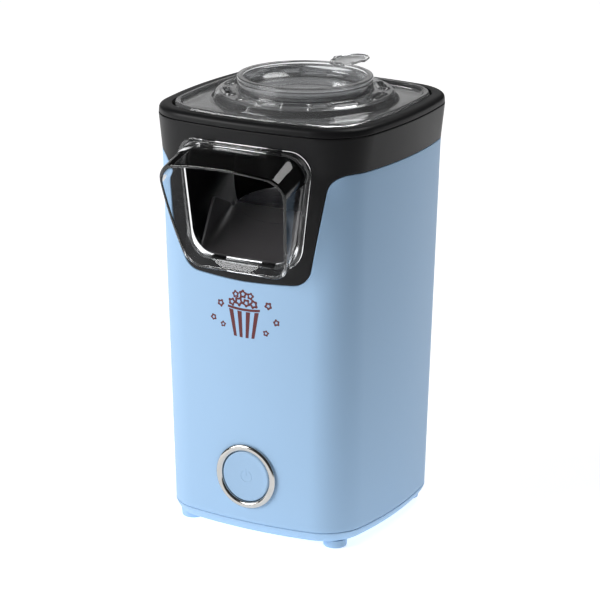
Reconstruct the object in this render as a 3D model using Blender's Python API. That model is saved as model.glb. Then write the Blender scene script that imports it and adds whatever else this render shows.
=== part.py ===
"""Hot-air popcorn maker: housing, chute, lid, measuring cup, button, fan and heater.

The frame is in metres, +Z up, with the origin on the table under the middle of the whole outline.
The front, with the chute and the button, faces -Y. Every shape below is written about the housing's
own middle, and the empty "machine" carries it to its place.
"""

from math import atan2, cos, hypot, pi, radians, sin, sqrt

import bpy
import bmesh
from mathutils import Matrix, Vector

MM = 0.001
GAP = 0.3 * MM                  # between pieces that touch
ROUND = 32                      # sides of a large round piece
SMALL = 10                      # sides of a screw or a screw hole

# Heights of the stacked outer pieces
PLATE_BOTTOM = 5.6 * MM
HOUSING_BOTTOM = 14.7 * MM
COLLAR_BOTTOM = 253.0 * MM
COLLAR_TOP = 276.4 * MM
RIM_TOP = 282.2 * MM
LID_TOP = 283.0 * MM
DOME_TOP = 287.0 * MM
LID_COLLAR_TOP = 293.8 * MM
CUP_TOP = 296.6 * MM

# The housing's plan: a square with bulging sides and round corners
FOOT_HALF = 72.9 * MM           # half width at the bottom edge
COLLAR_HALF = 78.6 * MM         # half width where the collar starts
TOP_HALF = 80.8 * MM            # half width at the collar's top edge
RIM_HALF = 79.1 * MM
LID_HALF = 71.6 * MM
DEPTH_LESS = 0.5 * MM           # the depth is this much less than the width, each side
BULGE = 274.0 * MM              # radius of the side arcs
CORNER = 31.0 * MM
COLLAR_BULGE = 320.0 * MM
COLLAR_CORNER = 36.0 * MM
WALL = 2.4 * MM
BIB_HALF = 70.5 * MM            # half width of the bib where it leaves the collar

HOUSING_Y = 13.7 * MM           # the housing's middle; the chute hood reaches further than the cup's handle
AXIS_Y = 3.5 * MM               # the fan, chamber and cup share a vertical axis this far behind it
TAPER = (COLLAR_HALF - FOOT_HALF) / (COLLAR_BOTTOM - HOUSING_BOTTOM)

# Feet and base
FOOT_X, FOOT_Y = 54.0 * MM, 50.0 * MM
FOOT_RADIUS = 8.0 * MM
FLOOR_TOP = 8.6 * MM

# Chute: the ramp rises from the window to the chamber's mouth
RAMP_FRONT_Y, RAMP_FRONT_Z = -72.0 * MM, 192.0 * MM
RAMP_SLOPE = 0.6
CHUTE_TOP = 262.0 * MM
DUCT_BOTTOM, DUCT_TOP = 203.6 * MM, 270.2 * MM
DUCT_RADIUS = 50.0 * MM
DUCT_BORE = 46.5 * MM

# Chamber, heater and fan
CHAMBER_BOTTOM, CHAMBER_TOP = 116.0 * MM, 211.0 * MM
CHAMBER_RADIUS = 43.7 * MM
FLANGE_Z = 200.3 * MM
SHEET = 1.2 * MM
EARS = (0.0, pi / 2, pi)        # turns of the three screw ears, clear of the chute
EAR_CIRCLE, SCREW_CIRCLE = 52.0 * MM, 56.0 * MM
EAR_THICK = 2.0 * MM
FAN_FLOOR, FAN_TOP = 58.0 * MM, 112.0 * MM
FAN_RADIUS = 50.0 * MM
SHAFT_RADIUS = 1.15 * MM
MOTOR_SCREWS = 9.0 * MM         # from the fan's axis to each motor screw

# Cup, and the lid's collar round it
CUP_WALL = 41.8 * MM
COLLAR_RING = 44.1 * MM
LID_BORE = 42.3 * MM
SLOT_CIRCLE = 51.0 * MM
SLOTS = 10

# Power button: heights along its axis count inwards from the front surface
BUTTON_Z = 44.6 * MM
BUTTON_RADIUS = 17.2 * MM
BEZEL_RADIUS = 22.0 * MM
BUTTON_BORE = 20.4 * MM         # hole in the housing for the bezel's sleeve
HOLDER_X = 28.0 * MM            # posts that carry the switch bracket


# ---------------------------------------------------------------- materials

def material(name, colour, roughness, metallic=0.0, alpha=1.0):
    """A plain Principled BSDF; colour is linear RGB."""
    found = bpy.data.materials.get(name)
    if found:
        return found
    made = bpy.data.materials.new(name)
    made.use_nodes = True
    shader = made.node_tree.nodes["Principled BSDF"]
    shader.inputs["Base Color"].default_value = (*colour, 1.0)
    shader.inputs["Roughness"].default_value = roughness
    shader.inputs["Metallic"].default_value = metallic
    shader.inputs["Alpha"].default_value = alpha
    return made


def blue_plastic():
    return material("blue_plastic", (0.42, 0.60, 0.80), 0.45)


def black_plastic():
    return material("black_plastic", (0.030, 0.030, 0.032), 0.45)


def grey_plastic():
    return material("grey_plastic", (0.045, 0.044, 0.045), 0.6)


def clear_plastic():
    return material("clear_plastic", (0.85, 0.88, 0.90), 0.08, alpha=0.35)


def chrome():
    return material("chrome", (0.75, 0.76, 0.78), 0.12, metallic=1.0)


def aluminium():
    return material("aluminium", (0.62, 0.62, 0.64), 0.35, metallic=1.0)


def steel():
    return material("steel", (0.50, 0.51, 0.53), 0.35, metallic=1.0)


def mica():
    return material("mica", (0.55, 0.47, 0.36), 0.55)


def silicone():
    return material("silicone", (0.60, 0.12, 0.08), 0.7)


def nylon():
    return material("nylon", (0.72, 0.72, 0.68), 0.5)


def circuit_green():
    return material("circuit_green", (0.05, 0.22, 0.09), 0.5)


def lead_cover():
    return material("lead_cover", (0.70, 0.70, 0.72), 0.5)


# ------------------------------------------------------------- outline maths

def arc(centre, radius, start, end, steps):
    """Points on an arc, both ends included; angles in radians."""
    turn = [start + (end - start) * i / steps for i in range(steps + 1)]
    return [(centre[0] + radius * cos(t), centre[1] + radius * sin(t)) for t in turn]


def housing_outline(half_x, half_y, bulge, corner, corner_steps=5, side_steps=2):
    """A rectangle whose sides are arcs of radius bulge, rounded at its corners."""
    side, front = (half_x - bulge, 0.0), (0.0, half_y - bulge)
    apart = (front[0] - side[0], front[1] - side[1])
    reach = hypot(*apart)
    rise = sqrt((bulge - corner) ** 2 - (reach / 2) ** 2)
    middle = ((side[0] + front[0]) / 2, (side[1] + front[1]) / 2)
    centre = (middle[0] - apart[1] / reach * rise, middle[1] + apart[0] / reach * rise)
    if centre[0] < 0:
        centre = (2 * middle[0] - centre[0], 2 * middle[1] - centre[1])
    leave = atan2(centre[1] - side[1], centre[0] - side[0])
    meet = atan2(centre[1] - front[1], centre[0] - front[0])
    quarter = arc(side, bulge, 0.0, leave, side_steps)
    quarter += arc(centre, corner, leave, meet, corner_steps)[1:]
    quarter += arc(front, bulge, meet, pi / 2, side_steps)[1:]
    back_right = quarter[:-1]
    back_left = [(-x, y) for x, y in reversed(quarter)][:-1]
    front_left = [(-x, -y) for x, y in quarter][:-1]
    front_right = [(x, -y) for x, y in reversed(quarter)][:-1]
    return back_right + back_left + front_left + front_right


def half_width(z):
    """Half the housing's width at height z, taper and collar flare included."""
    if z <= COLLAR_BOTTOM:
        return FOOT_HALF + TAPER * (z - HOUSING_BOTTOM)
    flare = (TOP_HALF - COLLAR_HALF) / (COLLAR_TOP - COLLAR_BOTTOM)
    return COLLAR_HALF + flare * (z - COLLAR_BOTTOM)


def plan_at(z):
    """Side radius and corner radius at height z: constant below the collar, rounder above."""
    share = min(max((z - COLLAR_BOTTOM) / (COLLAR_TOP - COLLAR_BOTTOM), 0.0), 1.0)
    return BULGE + (COLLAR_BULGE - BULGE) * share, CORNER + (COLLAR_CORNER - CORNER) * share


def housing_ring(z, inset=0.0, at=None):
    """The housing's outline at height z, moved inwards by inset."""
    bulge, corner = plan_at(z)
    half = half_width(z) if at is None else at
    flat = housing_outline(half - inset, half - DEPTH_LESS - inset, bulge - inset, corner - inset)
    return [(x, y, z) for x, y in flat]


def top_ring(z, half, corner=COLLAR_CORNER):
    """An outline in the style of the housing's top, for the rim and the lid."""
    flat = housing_outline(half, half - DEPTH_LESS, COLLAR_BULGE, corner)
    return [(x, y, z) for x, y in flat]


def front_y(x, z):
    """The front surface's y at (x, z)."""
    bulge, _ = plan_at(z)
    return -(half_width(z) - DEPTH_LESS) + bulge - sqrt(bulge ** 2 - x ** 2)


def ramp_z(y):
    return RAMP_FRONT_Z + RAMP_SLOPE * (y - RAMP_FRONT_Y)


def bib_edge(grow=0.0):
    """The bib's right half from the collar line down to the middle, as (x, z) points."""
    fillet = arc((BIB_HALF, 239.0 * MM), 14.0 * MM - grow, radians(90), radians(169), 5)
    corner = arc((33.6 * MM, 192.6 * MM), 13.4 * MM + grow, radians(-11), radians(-86), 6)
    return fillet + corner + [(18.0 * MM, 178.2 * MM - grow), (0.0, 177.6 * MM - grow)]


def bib_outline(grow=0.0, top=COLLAR_BOTTOM):
    """The closed bib outline in (x, z), reaching up to top."""
    right = bib_edge(grow)
    if top > COLLAR_BOTTOM:
        right.insert(0, (BIB_HALF, top))
    return right + [(-x, z) for x, z in reversed(right[:-1])]


def hood_outline(half_top, half_bottom, top, bottom, round_top, round_bottom, bow=0.0):
    """A rounded trapezoid in (x, z), wider at the top; bow lifts the middle of the top edge."""
    lean = atan2(half_top - half_bottom, top - bottom)
    low = (half_bottom + lean * round_bottom - round_bottom, bottom + round_bottom)
    high = (half_top - lean * round_top - round_top, top - round_top)
    right = [(0.0, bottom), (low[0] * 0.55, bottom)]
    right += arc(low, round_bottom, -pi / 2, -lean, 5)
    right += arc(high, round_top, -lean, pi / 2, 5)
    right += [(high[0] * 0.55, top), (0.0, top)]
    lifted = [(x, z + bow * max(0.0, 1 - (x / half_top) ** 2) * (z > high[1])) for x, z in right]
    return lifted + [(-x, z) for x, z in reversed(lifted[1:-1])]


# ------------------------------------------------------------- shape makers
# A shape is (points, faces). A piece or a cutter is made from one shape.

def skin(rings, hollow=False):
    """Faces over rings of equal length; hollow joins the last ring to the first."""
    count = len(rings[0])
    points = [p for ring in rings for p in ring]
    pairs = len(rings) if hollow else len(rings) - 1
    faces = []
    for r in range(pairs):
        low, high = r * count, ((r + 1) % len(rings)) * count
        for i in range(count):
            j = (i + 1) % count
            faces.append((low + i, low + j, high + j, high + i))
    if not hollow:
        faces.append(tuple(reversed(range(count))))
        faces.append(tuple((len(rings) - 1) * count + i for i in range(count)))
    return points, faces


def turned(profile, sides=ROUND, hollow=False):
    """A profile of (radius, height) pairs turned about the local Z axis."""
    turn = [2 * pi * i / sides for i in range(sides)]
    return skin([[(r * cos(t), r * sin(t), z) for t in turn] for r, z in profile], hollow)


def ring_profile(outer, inner, low, high):
    return [(outer, low), (outer, high), (inner, high), (inner, low)]


def prism(outline, low, high, axis="Z"):
    """A flat outline of (u, v) points carried from low to high along an axis."""
    put = {"X": lambda u, v, w: (w, u, v), "Y": lambda u, v, w: (u, w, v), "Z": lambda u, v, w: (u, v, w)}
    return skin([[put[axis](u, v, w) for u, v in outline] for w in (low, high)])


def block(low, high):
    (x0, y0, z0), (x1, y1, z1) = low, high
    return prism([(x0, y0), (x1, y0), (x1, y1), (x0, y1)], z0, z1)


def moved(shape, x=0.0, y=0.0, z=0.0, turn=None):
    """The shape turned about the origin by a matrix, then moved."""
    points, faces = shape
    place = Matrix.Translation((x, y, z)) @ (turn or Matrix())
    return [tuple(place @ Vector(p)) for p in points], faces


def together(shapes):
    """Several separate shapes as one, for a cutter with more than one body."""
    points, faces = [], []
    for some_points, some_faces in shapes:
        start = len(points)
        points += some_points
        faces += [tuple(start + i for i in face) for face in some_faces]
    return points, faces


def about_axis(shape, angles, radius):
    """Copies of a shape set out on a circle round the vertical axis, each turned to face out."""
    placed = []
    for angle in angles:
        turn = Matrix.Rotation(angle, 4, "Z")
        placed.append(moved(moved(shape, radius, 0.0), 0.0, AXIS_Y, 0.0, turn))
    return together(placed)


def mesh_of(name, shape):
    points, faces = shape
    mesh = bpy.data.meshes.new(name)
    mesh.from_pydata(points, [], faces)
    work = bmesh.new()
    work.from_mesh(mesh)
    bmesh.ops.recalc_face_normals(work, faces=work.faces)
    work.to_mesh(mesh)
    work.free()
    return mesh


def machine():
    """The empty that carries every piece, at the housing's middle."""
    found = bpy.data.objects.get("machine")
    if found:
        return found
    made = bpy.data.objects.new("machine", None)
    made.location = (0.0, HOUSING_Y, 0.0)
    bpy.context.scene.collection.objects.link(made)
    return made


def piece(name, shape, finish, parent=None, x=0.0, y=0.0, z=0.0):
    """One named sub-part, on the machine's empty or on a parent of its own."""
    mesh = mesh_of(name, shape)
    mesh.materials.append(finish)
    mesh.shade_smooth()
    mesh.set_sharp_from_angle(angle=radians(35))
    made = bpy.data.objects.new(name, mesh)
    made.location = (x, y, z)
    made.parent = parent or machine()
    bpy.context.scene.collection.objects.link(made)
    return made


def boolean(target, shape, operation):
    name = f"{target.name}_guide_{len(target.modifiers) + 1}"
    cutter = bpy.data.objects.new(name, mesh_of(name, shape))
    cutter.location = target.location
    cutter.parent = target.parent
    cutter.hide_render = True
    cutter.display_type = "WIRE"
    bpy.context.scene.collection.objects.link(cutter)
    step = target.modifiers.new(operation.title(), "BOOLEAN")
    step.operation = operation
    step.solver = "EXACT"
    step.object = cutter


def add(target, shape):
    boolean(target, shape, "UNION")


def remove(target, shape):
    boolean(target, shape, "DIFFERENCE")


def keep(target, shape):
    boolean(target, shape, "INTERSECT")


# ---------------------------------------------------------- base and housing

def foot_places():
    return [(side, end) for end in (-1, 1) for side in (-1, 1)]


def make_base_plate():
    rings = [housing_ring(PLATE_BOTTOM, 5.0 * MM, FOOT_HALF), housing_ring(7.4 * MM, 2.8 * MM, FOOT_HALF),
             housing_ring(10.0 * MM, 2.0 * MM, FOOT_HALF), housing_ring(14.4 * MM, 2.0 * MM, FOOT_HALF),
             housing_ring(14.4 * MM, 4.6 * MM, FOOT_HALF), housing_ring(FLOOR_TOP, 5.0 * MM, FOOT_HALF)]
    plate = piece("base_plate", skin(rings), blue_plastic())
    post = turned([(4.0 * MM, 7.0 * MM), (3.4 * MM, FAN_FLOOR - GAP)], SMALL)
    add(plate, together([moved(post, side * 32.0 * MM, AXIS_Y + end * 28.0 * MM)
                         for side, end in foot_places()]))
    hole = turned([(2.1 * MM, 4.0 * MM), (2.1 * MM, 12.0 * MM)], SMALL)
    slot = block((-20.0 * MM, -2.0 * MM, 4.0 * MM), (20.0 * MM, 2.0 * MM, 12.0 * MM))
    openings = [moved(hole, side * FOOT_X, end * FOOT_Y) for side, end in foot_places()]
    openings += [moved(slot, 0.0, AXIS_Y + 9.0 * MM * i) for i in range(-2, 3)]
    remove(plate, together(openings))


def make_feet():
    names = ("foot_front_left", "foot_front_right", "foot_rear_left", "foot_rear_right")
    shape = turned([(FOOT_RADIUS - 0.8 * MM, 0.0), (FOOT_RADIUS, 0.8 * MM),
                    (FOOT_RADIUS, PLATE_BOTTOM - GAP), (4.2 * MM, PLATE_BOTTOM - GAP), (4.2 * MM, 0.0)],
                   20, hollow=True)
    for name, (side, end) in zip(names, foot_places()):
        piece(name, shape, blue_plastic(), x=side * FOOT_X, y=end * FOOT_Y)


def make_base_screws():
    head, shank = 3.3 * MM, 1.5 * MM
    shape = turned([(head, 3.0 * MM), (head, 5.2 * MM), (shank, 5.3 * MM), (shank, 30.0 * MM)], SMALL)
    for number, (side, end) in enumerate(foot_places(), 1):
        piece(f"base_screw_{number}", shape, steel(), x=side * FOOT_X, y=end * FOOT_Y)


def make_lower_housing():
    heights = [(HOUSING_BOTTOM, 0.6 * MM), (HOUSING_BOTTOM + 0.8 * MM, 0.0), (120.0 * MM, 0.0),
               (COLLAR_BOTTOM, 0.0)]
    rings = [housing_ring(z, inset) for z, inset in heights]
    rings += [housing_ring(COLLAR_BOTTOM, WALL), housing_ring(HOUSING_BOTTOM, WALL)]
    shell = piece("lower_housing", skin(rings, hollow=True), blue_plastic())
    boss_low, boss_high = 15.6 * MM, 40.0 * MM
    bosses = []
    for side, end in foot_places():
        bosses.append(moved(turned([(4.6 * MM, boss_low), (4.6 * MM, boss_high)], SMALL),
                            side * FOOT_X, end * FOOT_Y))
    add(shell, together(bosses))
    half_rib = 1.2 * MM
    ribs = []
    for side, end in foot_places():
        inner, outer = sorted((side * (FOOT_X + 3.0 * MM), side * (FOOT_HALF - 6.0 * MM)))
        y = end * FOOT_Y
        ribs.append(block((inner, y - half_rib, boss_low + 1.0 * MM),
                          (outer, y + half_rib, boss_high - 1.0 * MM)))
    add(shell, together(ribs))
    holder = turned([(4.0 * MM, 1.6 * MM), (4.0 * MM, 18.0 * MM)], SMALL)
    holders = [moved(holder, side * HOLDER_X) for side in (-1, 1)]
    add(shell, on_button_axis(together(holders)))
    remove(shell, prism(bib_outline(GAP, COLLAR_BOTTOM + 8.0 * MM), -120.0 * MM, -40.0 * MM, "Y"))
    remove(shell, together([moved(turned([(1.9 * MM, 12.0 * MM), (1.9 * MM, 34.0 * MM)], SMALL),
                                  side * FOOT_X, end * FOOT_Y) for side, end in foot_places()]))
    button_hole = turned([(BUTTON_BORE, -8.0 * MM), (BUTTON_BORE, 8.0 * MM)], ROUND)
    screw_hole = turned([(1.4 * MM, 5.0 * MM), (1.4 * MM, 22.0 * MM)], SMALL)
    remove(shell, on_button_axis(together(
        [button_hole] + [moved(screw_hole, side * HOLDER_X) for side in (-1, 1)])))
    remove(shell, inlet_shape([(5.4 * MM, -12.0 * MM), (5.4 * MM, 12.0 * MM)]))


def window_outline(grow=0.0):
    """The chute window in the bib."""
    return hood_outline(45.5 * MM + grow, 37.0 * MM + grow, CHUTE_TOP + grow, 190.4 * MM - grow,
                        9.0 * MM, 13.0 * MM)


def make_upper_housing():
    outer = [housing_ring(z) for z in (170.0 * MM, COLLAR_BOTTOM, COLLAR_TOP)]
    inner = [housing_ring(COLLAR_TOP, WALL), housing_ring(270.2 * MM, WALL),
             housing_ring(270.2 * MM, 9.0 * MM), housing_ring(267.4 * MM, 9.0 * MM),
             housing_ring(266.0 * MM, WALL), housing_ring(COLLAR_BOTTOM, WALL), housing_ring(170.0 * MM, WALL)]
    shell = piece("upper_housing", skin(outer + inner, hollow=True), black_plastic())
    line = COLLAR_BOTTOM + GAP
    far, low = 120.0 * MM, 150.0 * MM
    bib = bib_edge()
    right = [(far, low), (far, line), (bib[0][0], line)] + bib[1:]
    notched = right + [(-x, z) for x, z in reversed(right[:-1])]
    level = [(x, max(z, line) if abs(x) < far else z) for x, z in notched]
    sections = [(-far, notched), (-45.0 * MM, notched), (-44.0 * MM, level), (far, level)]
    remove(shell, skin([[(x, y, z) for x, z in outline] for y, outline in sections]))
    remove(shell, prism(window_outline(), -far, -40.0 * MM, "Y"))


def make_top_rim():
    half = RIM_HALF
    profile = [(COLLAR_TOP + GAP, half - 2.4 * MM), (278.5 * MM, half - 2.4 * MM), (278.6 * MM, half),
               (RIM_TOP - 1.0 * MM, half), (RIM_TOP, half - 1.2 * MM), (RIM_TOP, half - 7.0 * MM),
               (277.6 * MM, half - 7.0 * MM),
               (277.6 * MM, half - 11.0 * MM), (273.4 * MM, half - 11.0 * MM), (273.4 * MM, half - 2.4 * MM)]
    rings = [top_ring(z, width, COLLAR_CORNER - (half - width)) for z, width in profile]
    piece("top_rim", skin(rings, hollow=True), black_plastic())


def make_top_deck():
    """The flat cover over the works, with the chamber's filling hole."""
    low, high = 270.5 * MM, 273.1 * MM
    half, corner = 76.6 * MM, 33.0 * MM
    deck = piece("top_deck", skin([top_ring(low, half, corner), top_ring(high, half, corner)]),
                 black_plastic())
    remove(deck, moved(turned([(DUCT_BORE, low - 5 * MM), (DUCT_BORE, high + 5 * MM)]), y=AXIS_Y))


# --------------------------------------------------------------- chute

def make_chute_duct():
    """The channel from the chamber's mouth to the window, with its ramp."""
    well = turned([(DUCT_RADIUS, DUCT_BOTTOM), (DUCT_RADIUS, DUCT_TOP)], ROUND)
    duct = piece("chute_duct", moved(well, y=AXIS_Y), grey_plastic())
    front, ledge_y, under, roof = -90.0 * MM, -48.0 * MM, 3.0 * MM, 265.5 * MM
    bend_y = ledge_y - 5.0 * MM
    side_view = [(front, ramp_z(front) - under), (bend_y, ramp_z(bend_y) - under),
                 (ledge_y, DUCT_BOTTOM), (AXIS_Y, DUCT_BOTTOM), (AXIS_Y, roof), (front, roof)]
    add(duct, prism(side_view, -48.6 * MM, 48.6 * MM, "X"))
    ear = block((-4.0 * MM, -5.0 * MM, DUCT_BOTTOM), (8.0 * MM, 5.0 * MM, DUCT_BOTTOM + 6.0 * MM))
    add(duct, about_axis(ear, EARS, EAR_CIRCLE))
    inside = [housing_ring(z, WALL + GAP) for z in (160.0 * MM, COLLAR_BOTTOM, 272.0 * MM)]
    keep(duct, skin(inside))
    remove(duct, moved(turned([(DUCT_BORE, 180.0 * MM), (DUCT_BORE, 290.0 * MM)]), y=AXIS_Y))
    remove(duct, skin([chute_section(-95.0 * MM), chute_section(-20.0 * MM)]))
    hole = turned([(1.8 * MM, DUCT_BOTTOM - 4.0 * MM), (1.8 * MM, DUCT_BOTTOM + 4.6 * MM)], SMALL)
    remove(duct, about_axis(hole, EARS, SCREW_CIRCLE))


def chute_section(y):
    """The channel's cross-section at y: a floor on the ramp, sloping lower sides, straight walls."""
    floor = ramp_z(y)
    right = [(30.0 * MM, floor), (44.0 * MM, floor + 20.0 * MM), (46.0 * MM, 250.0 * MM),
             (38.0 * MM, CHUTE_TOP)]
    flat = right + [(-x, z) for x, z in reversed(right)]
    return [(x, y, z) for x, z in flat]


SHIELD_TOP = (46.3 * MM, 253.7 * MM)        # the free edge's half width and height at its top
SHIELD_LOW = (35.4 * MM, 184.1 * MM)
SHIELD_REACH = (82.9 * MM, 104.3 * MM)      # how far forward the free edge stands, low and high
SHIELD_BULGE = 4.6 * MM


def shield_back(inset, off):
    """The hood's outline where it meets the bib, moved inwards by inset and off the front by off."""
    flat = hood_outline(49.5 * MM - inset, 40.4 * MM - inset, 266.4 * MM - inset, 188.6 * MM + inset,
                        13.0 * MM, 17.0 * MM, bow=1.2 * MM)
    return [(x, front_y(x, z) - off, z) for x, z in flat]


def shield_free(inset):
    """The hood's free edge: it leans forward with height and bulges in the middle."""
    flat = hood_outline(SHIELD_TOP[0] - inset, SHIELD_LOW[0] - inset, SHIELD_TOP[1] - inset,
                        SHIELD_LOW[1] + inset, 9.5 * MM, 12.5 * MM, bow=4.8 * MM)
    ring = []
    for x, z in flat:
        share = min(max((z - SHIELD_LOW[1]) / (SHIELD_TOP[1] - SHIELD_LOW[1]), 0.0), 1.0)
        reach = SHIELD_REACH[0] + (SHIELD_REACH[1] - SHIELD_REACH[0]) * share
        ring.append((x, -reach - SHIELD_BULGE * (1 - (x / SHIELD_TOP[0]) ** 2), z))
    return ring


def make_chute_shield():
    """The clear hood: a flange on the bib, then a tube that narrows to its free edge."""
    gap, flange, root = 0.4 * MM, 2.2 * MM, 2.6 * MM
    outer, inner, wall = 1.9 * MM, 4.1 * MM, 2.0 * MM
    rings = [shield_back(0.0, gap), shield_back(0.0, flange), shield_back(outer, root),
             shield_free(0.0), shield_free(wall),
             shield_back(inner, root), shield_back(inner, gap)]
    piece("chute_shield", skin(rings, hollow=True), clear_plastic())


# --------------------------------------------------------------- lid and cup

def make_lid():
    """The clear lid: a flat plate with a skirt, a low dome with vent slots, and the cup's collar."""
    skirt, low, plate = 2.4 * MM, 278.0 * MM, 280.7 * MM
    border, border_corner = 61.5 * MM, 30.0 * MM
    outside = (LID_HALF, 32.0 * MM)
    inside = (LID_HALF - skirt, 32.0 * MM - skirt)
    rings = [top_ring(low, *inside), top_ring(low, *outside), top_ring(LID_TOP, *outside),
             top_ring(LID_TOP, border, border_corner), top_ring(plate, border, border_corner),
             top_ring(plate, *inside)]
    lid = piece("lid", skin(rings, hollow=True), clear_plastic())
    middle = border + 1.0 * MM
    add(lid, skin([top_ring(plate + GAP, middle, border_corner),
                   top_ring(LID_TOP - GAP, middle, border_corner)]))
    dome_foot, dome_edge, dome_inner = 60.5 * MM, 57.0 * MM, 30.0 * MM
    dome = [(dome_foot, 282.0 * MM), (dome_edge, DOME_TOP), (dome_inner, DOME_TOP), (dome_inner, 280.0 * MM),
            (dome_foot, 280.0 * MM)]
    add(lid, moved(turned(dome, hollow=True), y=AXIS_Y))
    ceiling = 284.8 * MM
    hollow = [(58.0 * MM, 270.0 * MM), (58.0 * MM, 281.4 * MM), (55.4 * MM, ceiling), (20.0 * MM, ceiling)]
    remove(lid, moved(turned(hollow), y=AXIS_Y))
    collar = ring_profile(COLLAR_RING, LID_BORE - 2.0 * MM, 285.4 * MM, LID_COLLAR_TOP)
    add(lid, moved(turned(collar, hollow=True), y=AXIS_Y))
    remove(lid, moved(turned([(LID_BORE, 265.0 * MM), (LID_BORE, 310.0 * MM)]), y=AXIS_Y))
    end, half_slot = 8.0 * MM, 2.0 * MM
    rounded = arc((0.0, end), half_slot, 0.0, pi, 2) + arc((0.0, -end), half_slot, pi, 2 * pi, 2)
    slot = prism(rounded, 265.0 * MM, 300.0 * MM)
    angles = [radians(4 + 360 / SLOTS * i) for i in range(SLOTS)]
    remove(lid, about_axis(slot, angles, SLOT_CIRCLE))


def make_measuring_cup():
    flange = 294.1 * MM
    wall = 1.6 * MM
    profile = [(34.0 * MM, 285.5 * MM), (38.5 * MM, 286.8 * MM), (CUP_WALL, 290.0 * MM), (CUP_WALL, flange),
               (COLLAR_RING, flange), (COLLAR_RING, CUP_TOP), (COLLAR_RING - 3.2 * MM, CUP_TOP),
               (CUP_WALL - wall, 294.0 * MM), (CUP_WALL - wall, 290.6 * MM), (37.6 * MM, 288.2 * MM),
               (34.0 * MM, 287.0 * MM)]
    cup = piece("measuring_cup", moved(turned(profile), y=AXIS_Y), clear_plastic())
    tip = arc((0.0, 69.5 * MM), 12.0 * MM, radians(10), radians(170), 8)
    paddle = [(10.0 * MM, 45.6 * MM)] + tip + [(-10.0 * MM, 45.6 * MM)]
    add(cup, prism(paddle, 294.5 * MM, 296.2 * MM))


# --------------------------------------------------------------- power button

def button_turn():
    """Turns the local Z axis to point into the housing, square to the tapered front."""
    return Matrix.Rotation(-(pi / 2 - atan2(TAPER, 1.0)), 4, "X")


def on_button_axis(shape):
    return moved(shape, 0.0, front_y(0.0, BUTTON_Z), BUTTON_Z, button_turn())


def make_button_group():
    axis = bpy.data.objects.new("button_axis", None)
    axis.location = (0.0, front_y(0.0, BUTTON_Z), BUTTON_Z)
    axis.rotation_euler = button_turn().to_euler()
    axis.parent = machine()
    bpy.context.scene.collection.objects.link(axis)

    bezel = [(BEZEL_RADIUS, -0.4 * MM), (20.0 * MM, -0.4 * MM), (20.0 * MM, 7.5 * MM), (17.6 * MM, 7.5 * MM),
             (17.6 * MM, -1.0 * MM), (18.2 * MM, -1.6 * MM), (21.2 * MM, -1.4 * MM)]
    piece("button_bezel", turned(bezel, hollow=True), chrome(), axis)
    button = [(16.4 * MM, -1.0 * MM), (BUTTON_RADIUS, -0.2 * MM), (BUTTON_RADIUS, 6.0 * MM),
              (15.4 * MM, 6.0 * MM), (15.4 * MM, 1.2 * MM), (3.0 * MM, 1.2 * MM), (3.0 * MM, 9.0 * MM)]
    piece("power_button", turned(button), blue_plastic(), axis)
    plunger = [(1.8 * MM, 9.3 * MM), (1.8 * MM, 26.0 * MM)]
    piece("switch_plunger", turned(plunger, 12), nylon(), axis)
    piece("button_spring", spring_shape(7.0 * MM, 1.6 * MM, 18.0 * MM, 0.6 * MM, 4), steel(), axis)
    plate = block((-34.0 * MM, -14.0 * MM, 18.3 * MM), (34.0 * MM, 14.0 * MM, 20.3 * MM))
    bracket = piece("switch_bracket", plate, steel(), axis)
    screw_hole = turned([(1.8 * MM, 15.0 * MM), (1.8 * MM, 24.0 * MM)], SMALL)
    remove(bracket, together([turned([(3.2 * MM, 15.0 * MM), (3.2 * MM, 24.0 * MM)], 16)]
                             + [moved(screw_hole, side * HOLDER_X) for side in (-1, 1)]))
    body = piece("switch_body", block((-9.0 * MM, -7.0 * MM, 20.6 * MM), (9.0 * MM, 7.0 * MM, 36.0 * MM)),
                 black_plastic(), axis)
    remove(body, turned([(2.3 * MM, 15.0 * MM), (2.3 * MM, 31.0 * MM)], SMALL))
    screw = turned([(1.1 * MM, 6.0 * MM), (1.1 * MM, 20.5 * MM), (2.8 * MM, 20.6 * MM),
                    (2.8 * MM, 22.2 * MM)], SMALL)
    for number, side in enumerate((-1, 1), 1):
        piece(f"bracket_screw_{number}", screw, steel(), axis, x=side * HOLDER_X)


def spring_shape(radius, low, high, wire, turns, steps=10, sides=5):
    """A coil spring about the local Z axis, as a tube of the given wire radius."""
    rings = []
    for i in range(turns * steps + 1):
        t = 2 * pi * i / steps
        z = low + wire + (high - low - 2 * wire) * i / (turns * steps)
        section = [(radius + wire * cos(a), z + wire * sin(a)) for a in [2 * pi * k / sides for k in range(sides)]]
        rings.append([(r * cos(t), r * sin(t), height) for r, height in section])
    return skin(rings)


# --------------------------------------------------- chamber, heater and fan

def make_popping_chamber():
    wall = 1.5 * MM
    profile = [(8.0 * MM, 121.0 * MM), (36.0 * MM, CHAMBER_BOTTOM), (CHAMBER_RADIUS, 122.0 * MM),
               (CHAMBER_RADIUS, FLANGE_Z),
               (FAN_RADIUS, FLANGE_Z), (FAN_RADIUS, FLANGE_Z + SHEET), (CHAMBER_RADIUS, FLANGE_Z + SHEET),
               (CHAMBER_RADIUS, CHAMBER_TOP), (CHAMBER_RADIUS - wall, CHAMBER_TOP),
               (CHAMBER_RADIUS - wall, 122.8 * MM), (35.0 * MM, CHAMBER_BOTTOM + wall), (8.0 * MM, 122.5 * MM)]
    chamber = piece("popping_chamber", moved(turned(profile), y=AXIS_Y), aluminium())
    vent = moved(block((-4.0 * MM, -0.9 * MM, -5.0 * MM), (4.0 * MM, 0.9 * MM, 5.0 * MM)), z=129.0 * MM,
                 turn=Matrix.Rotation(radians(25), 4, "X"))
    remove(chamber, about_axis(vent, [2 * pi * i / 12 for i in range(12)], CHAMBER_RADIUS))


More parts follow.
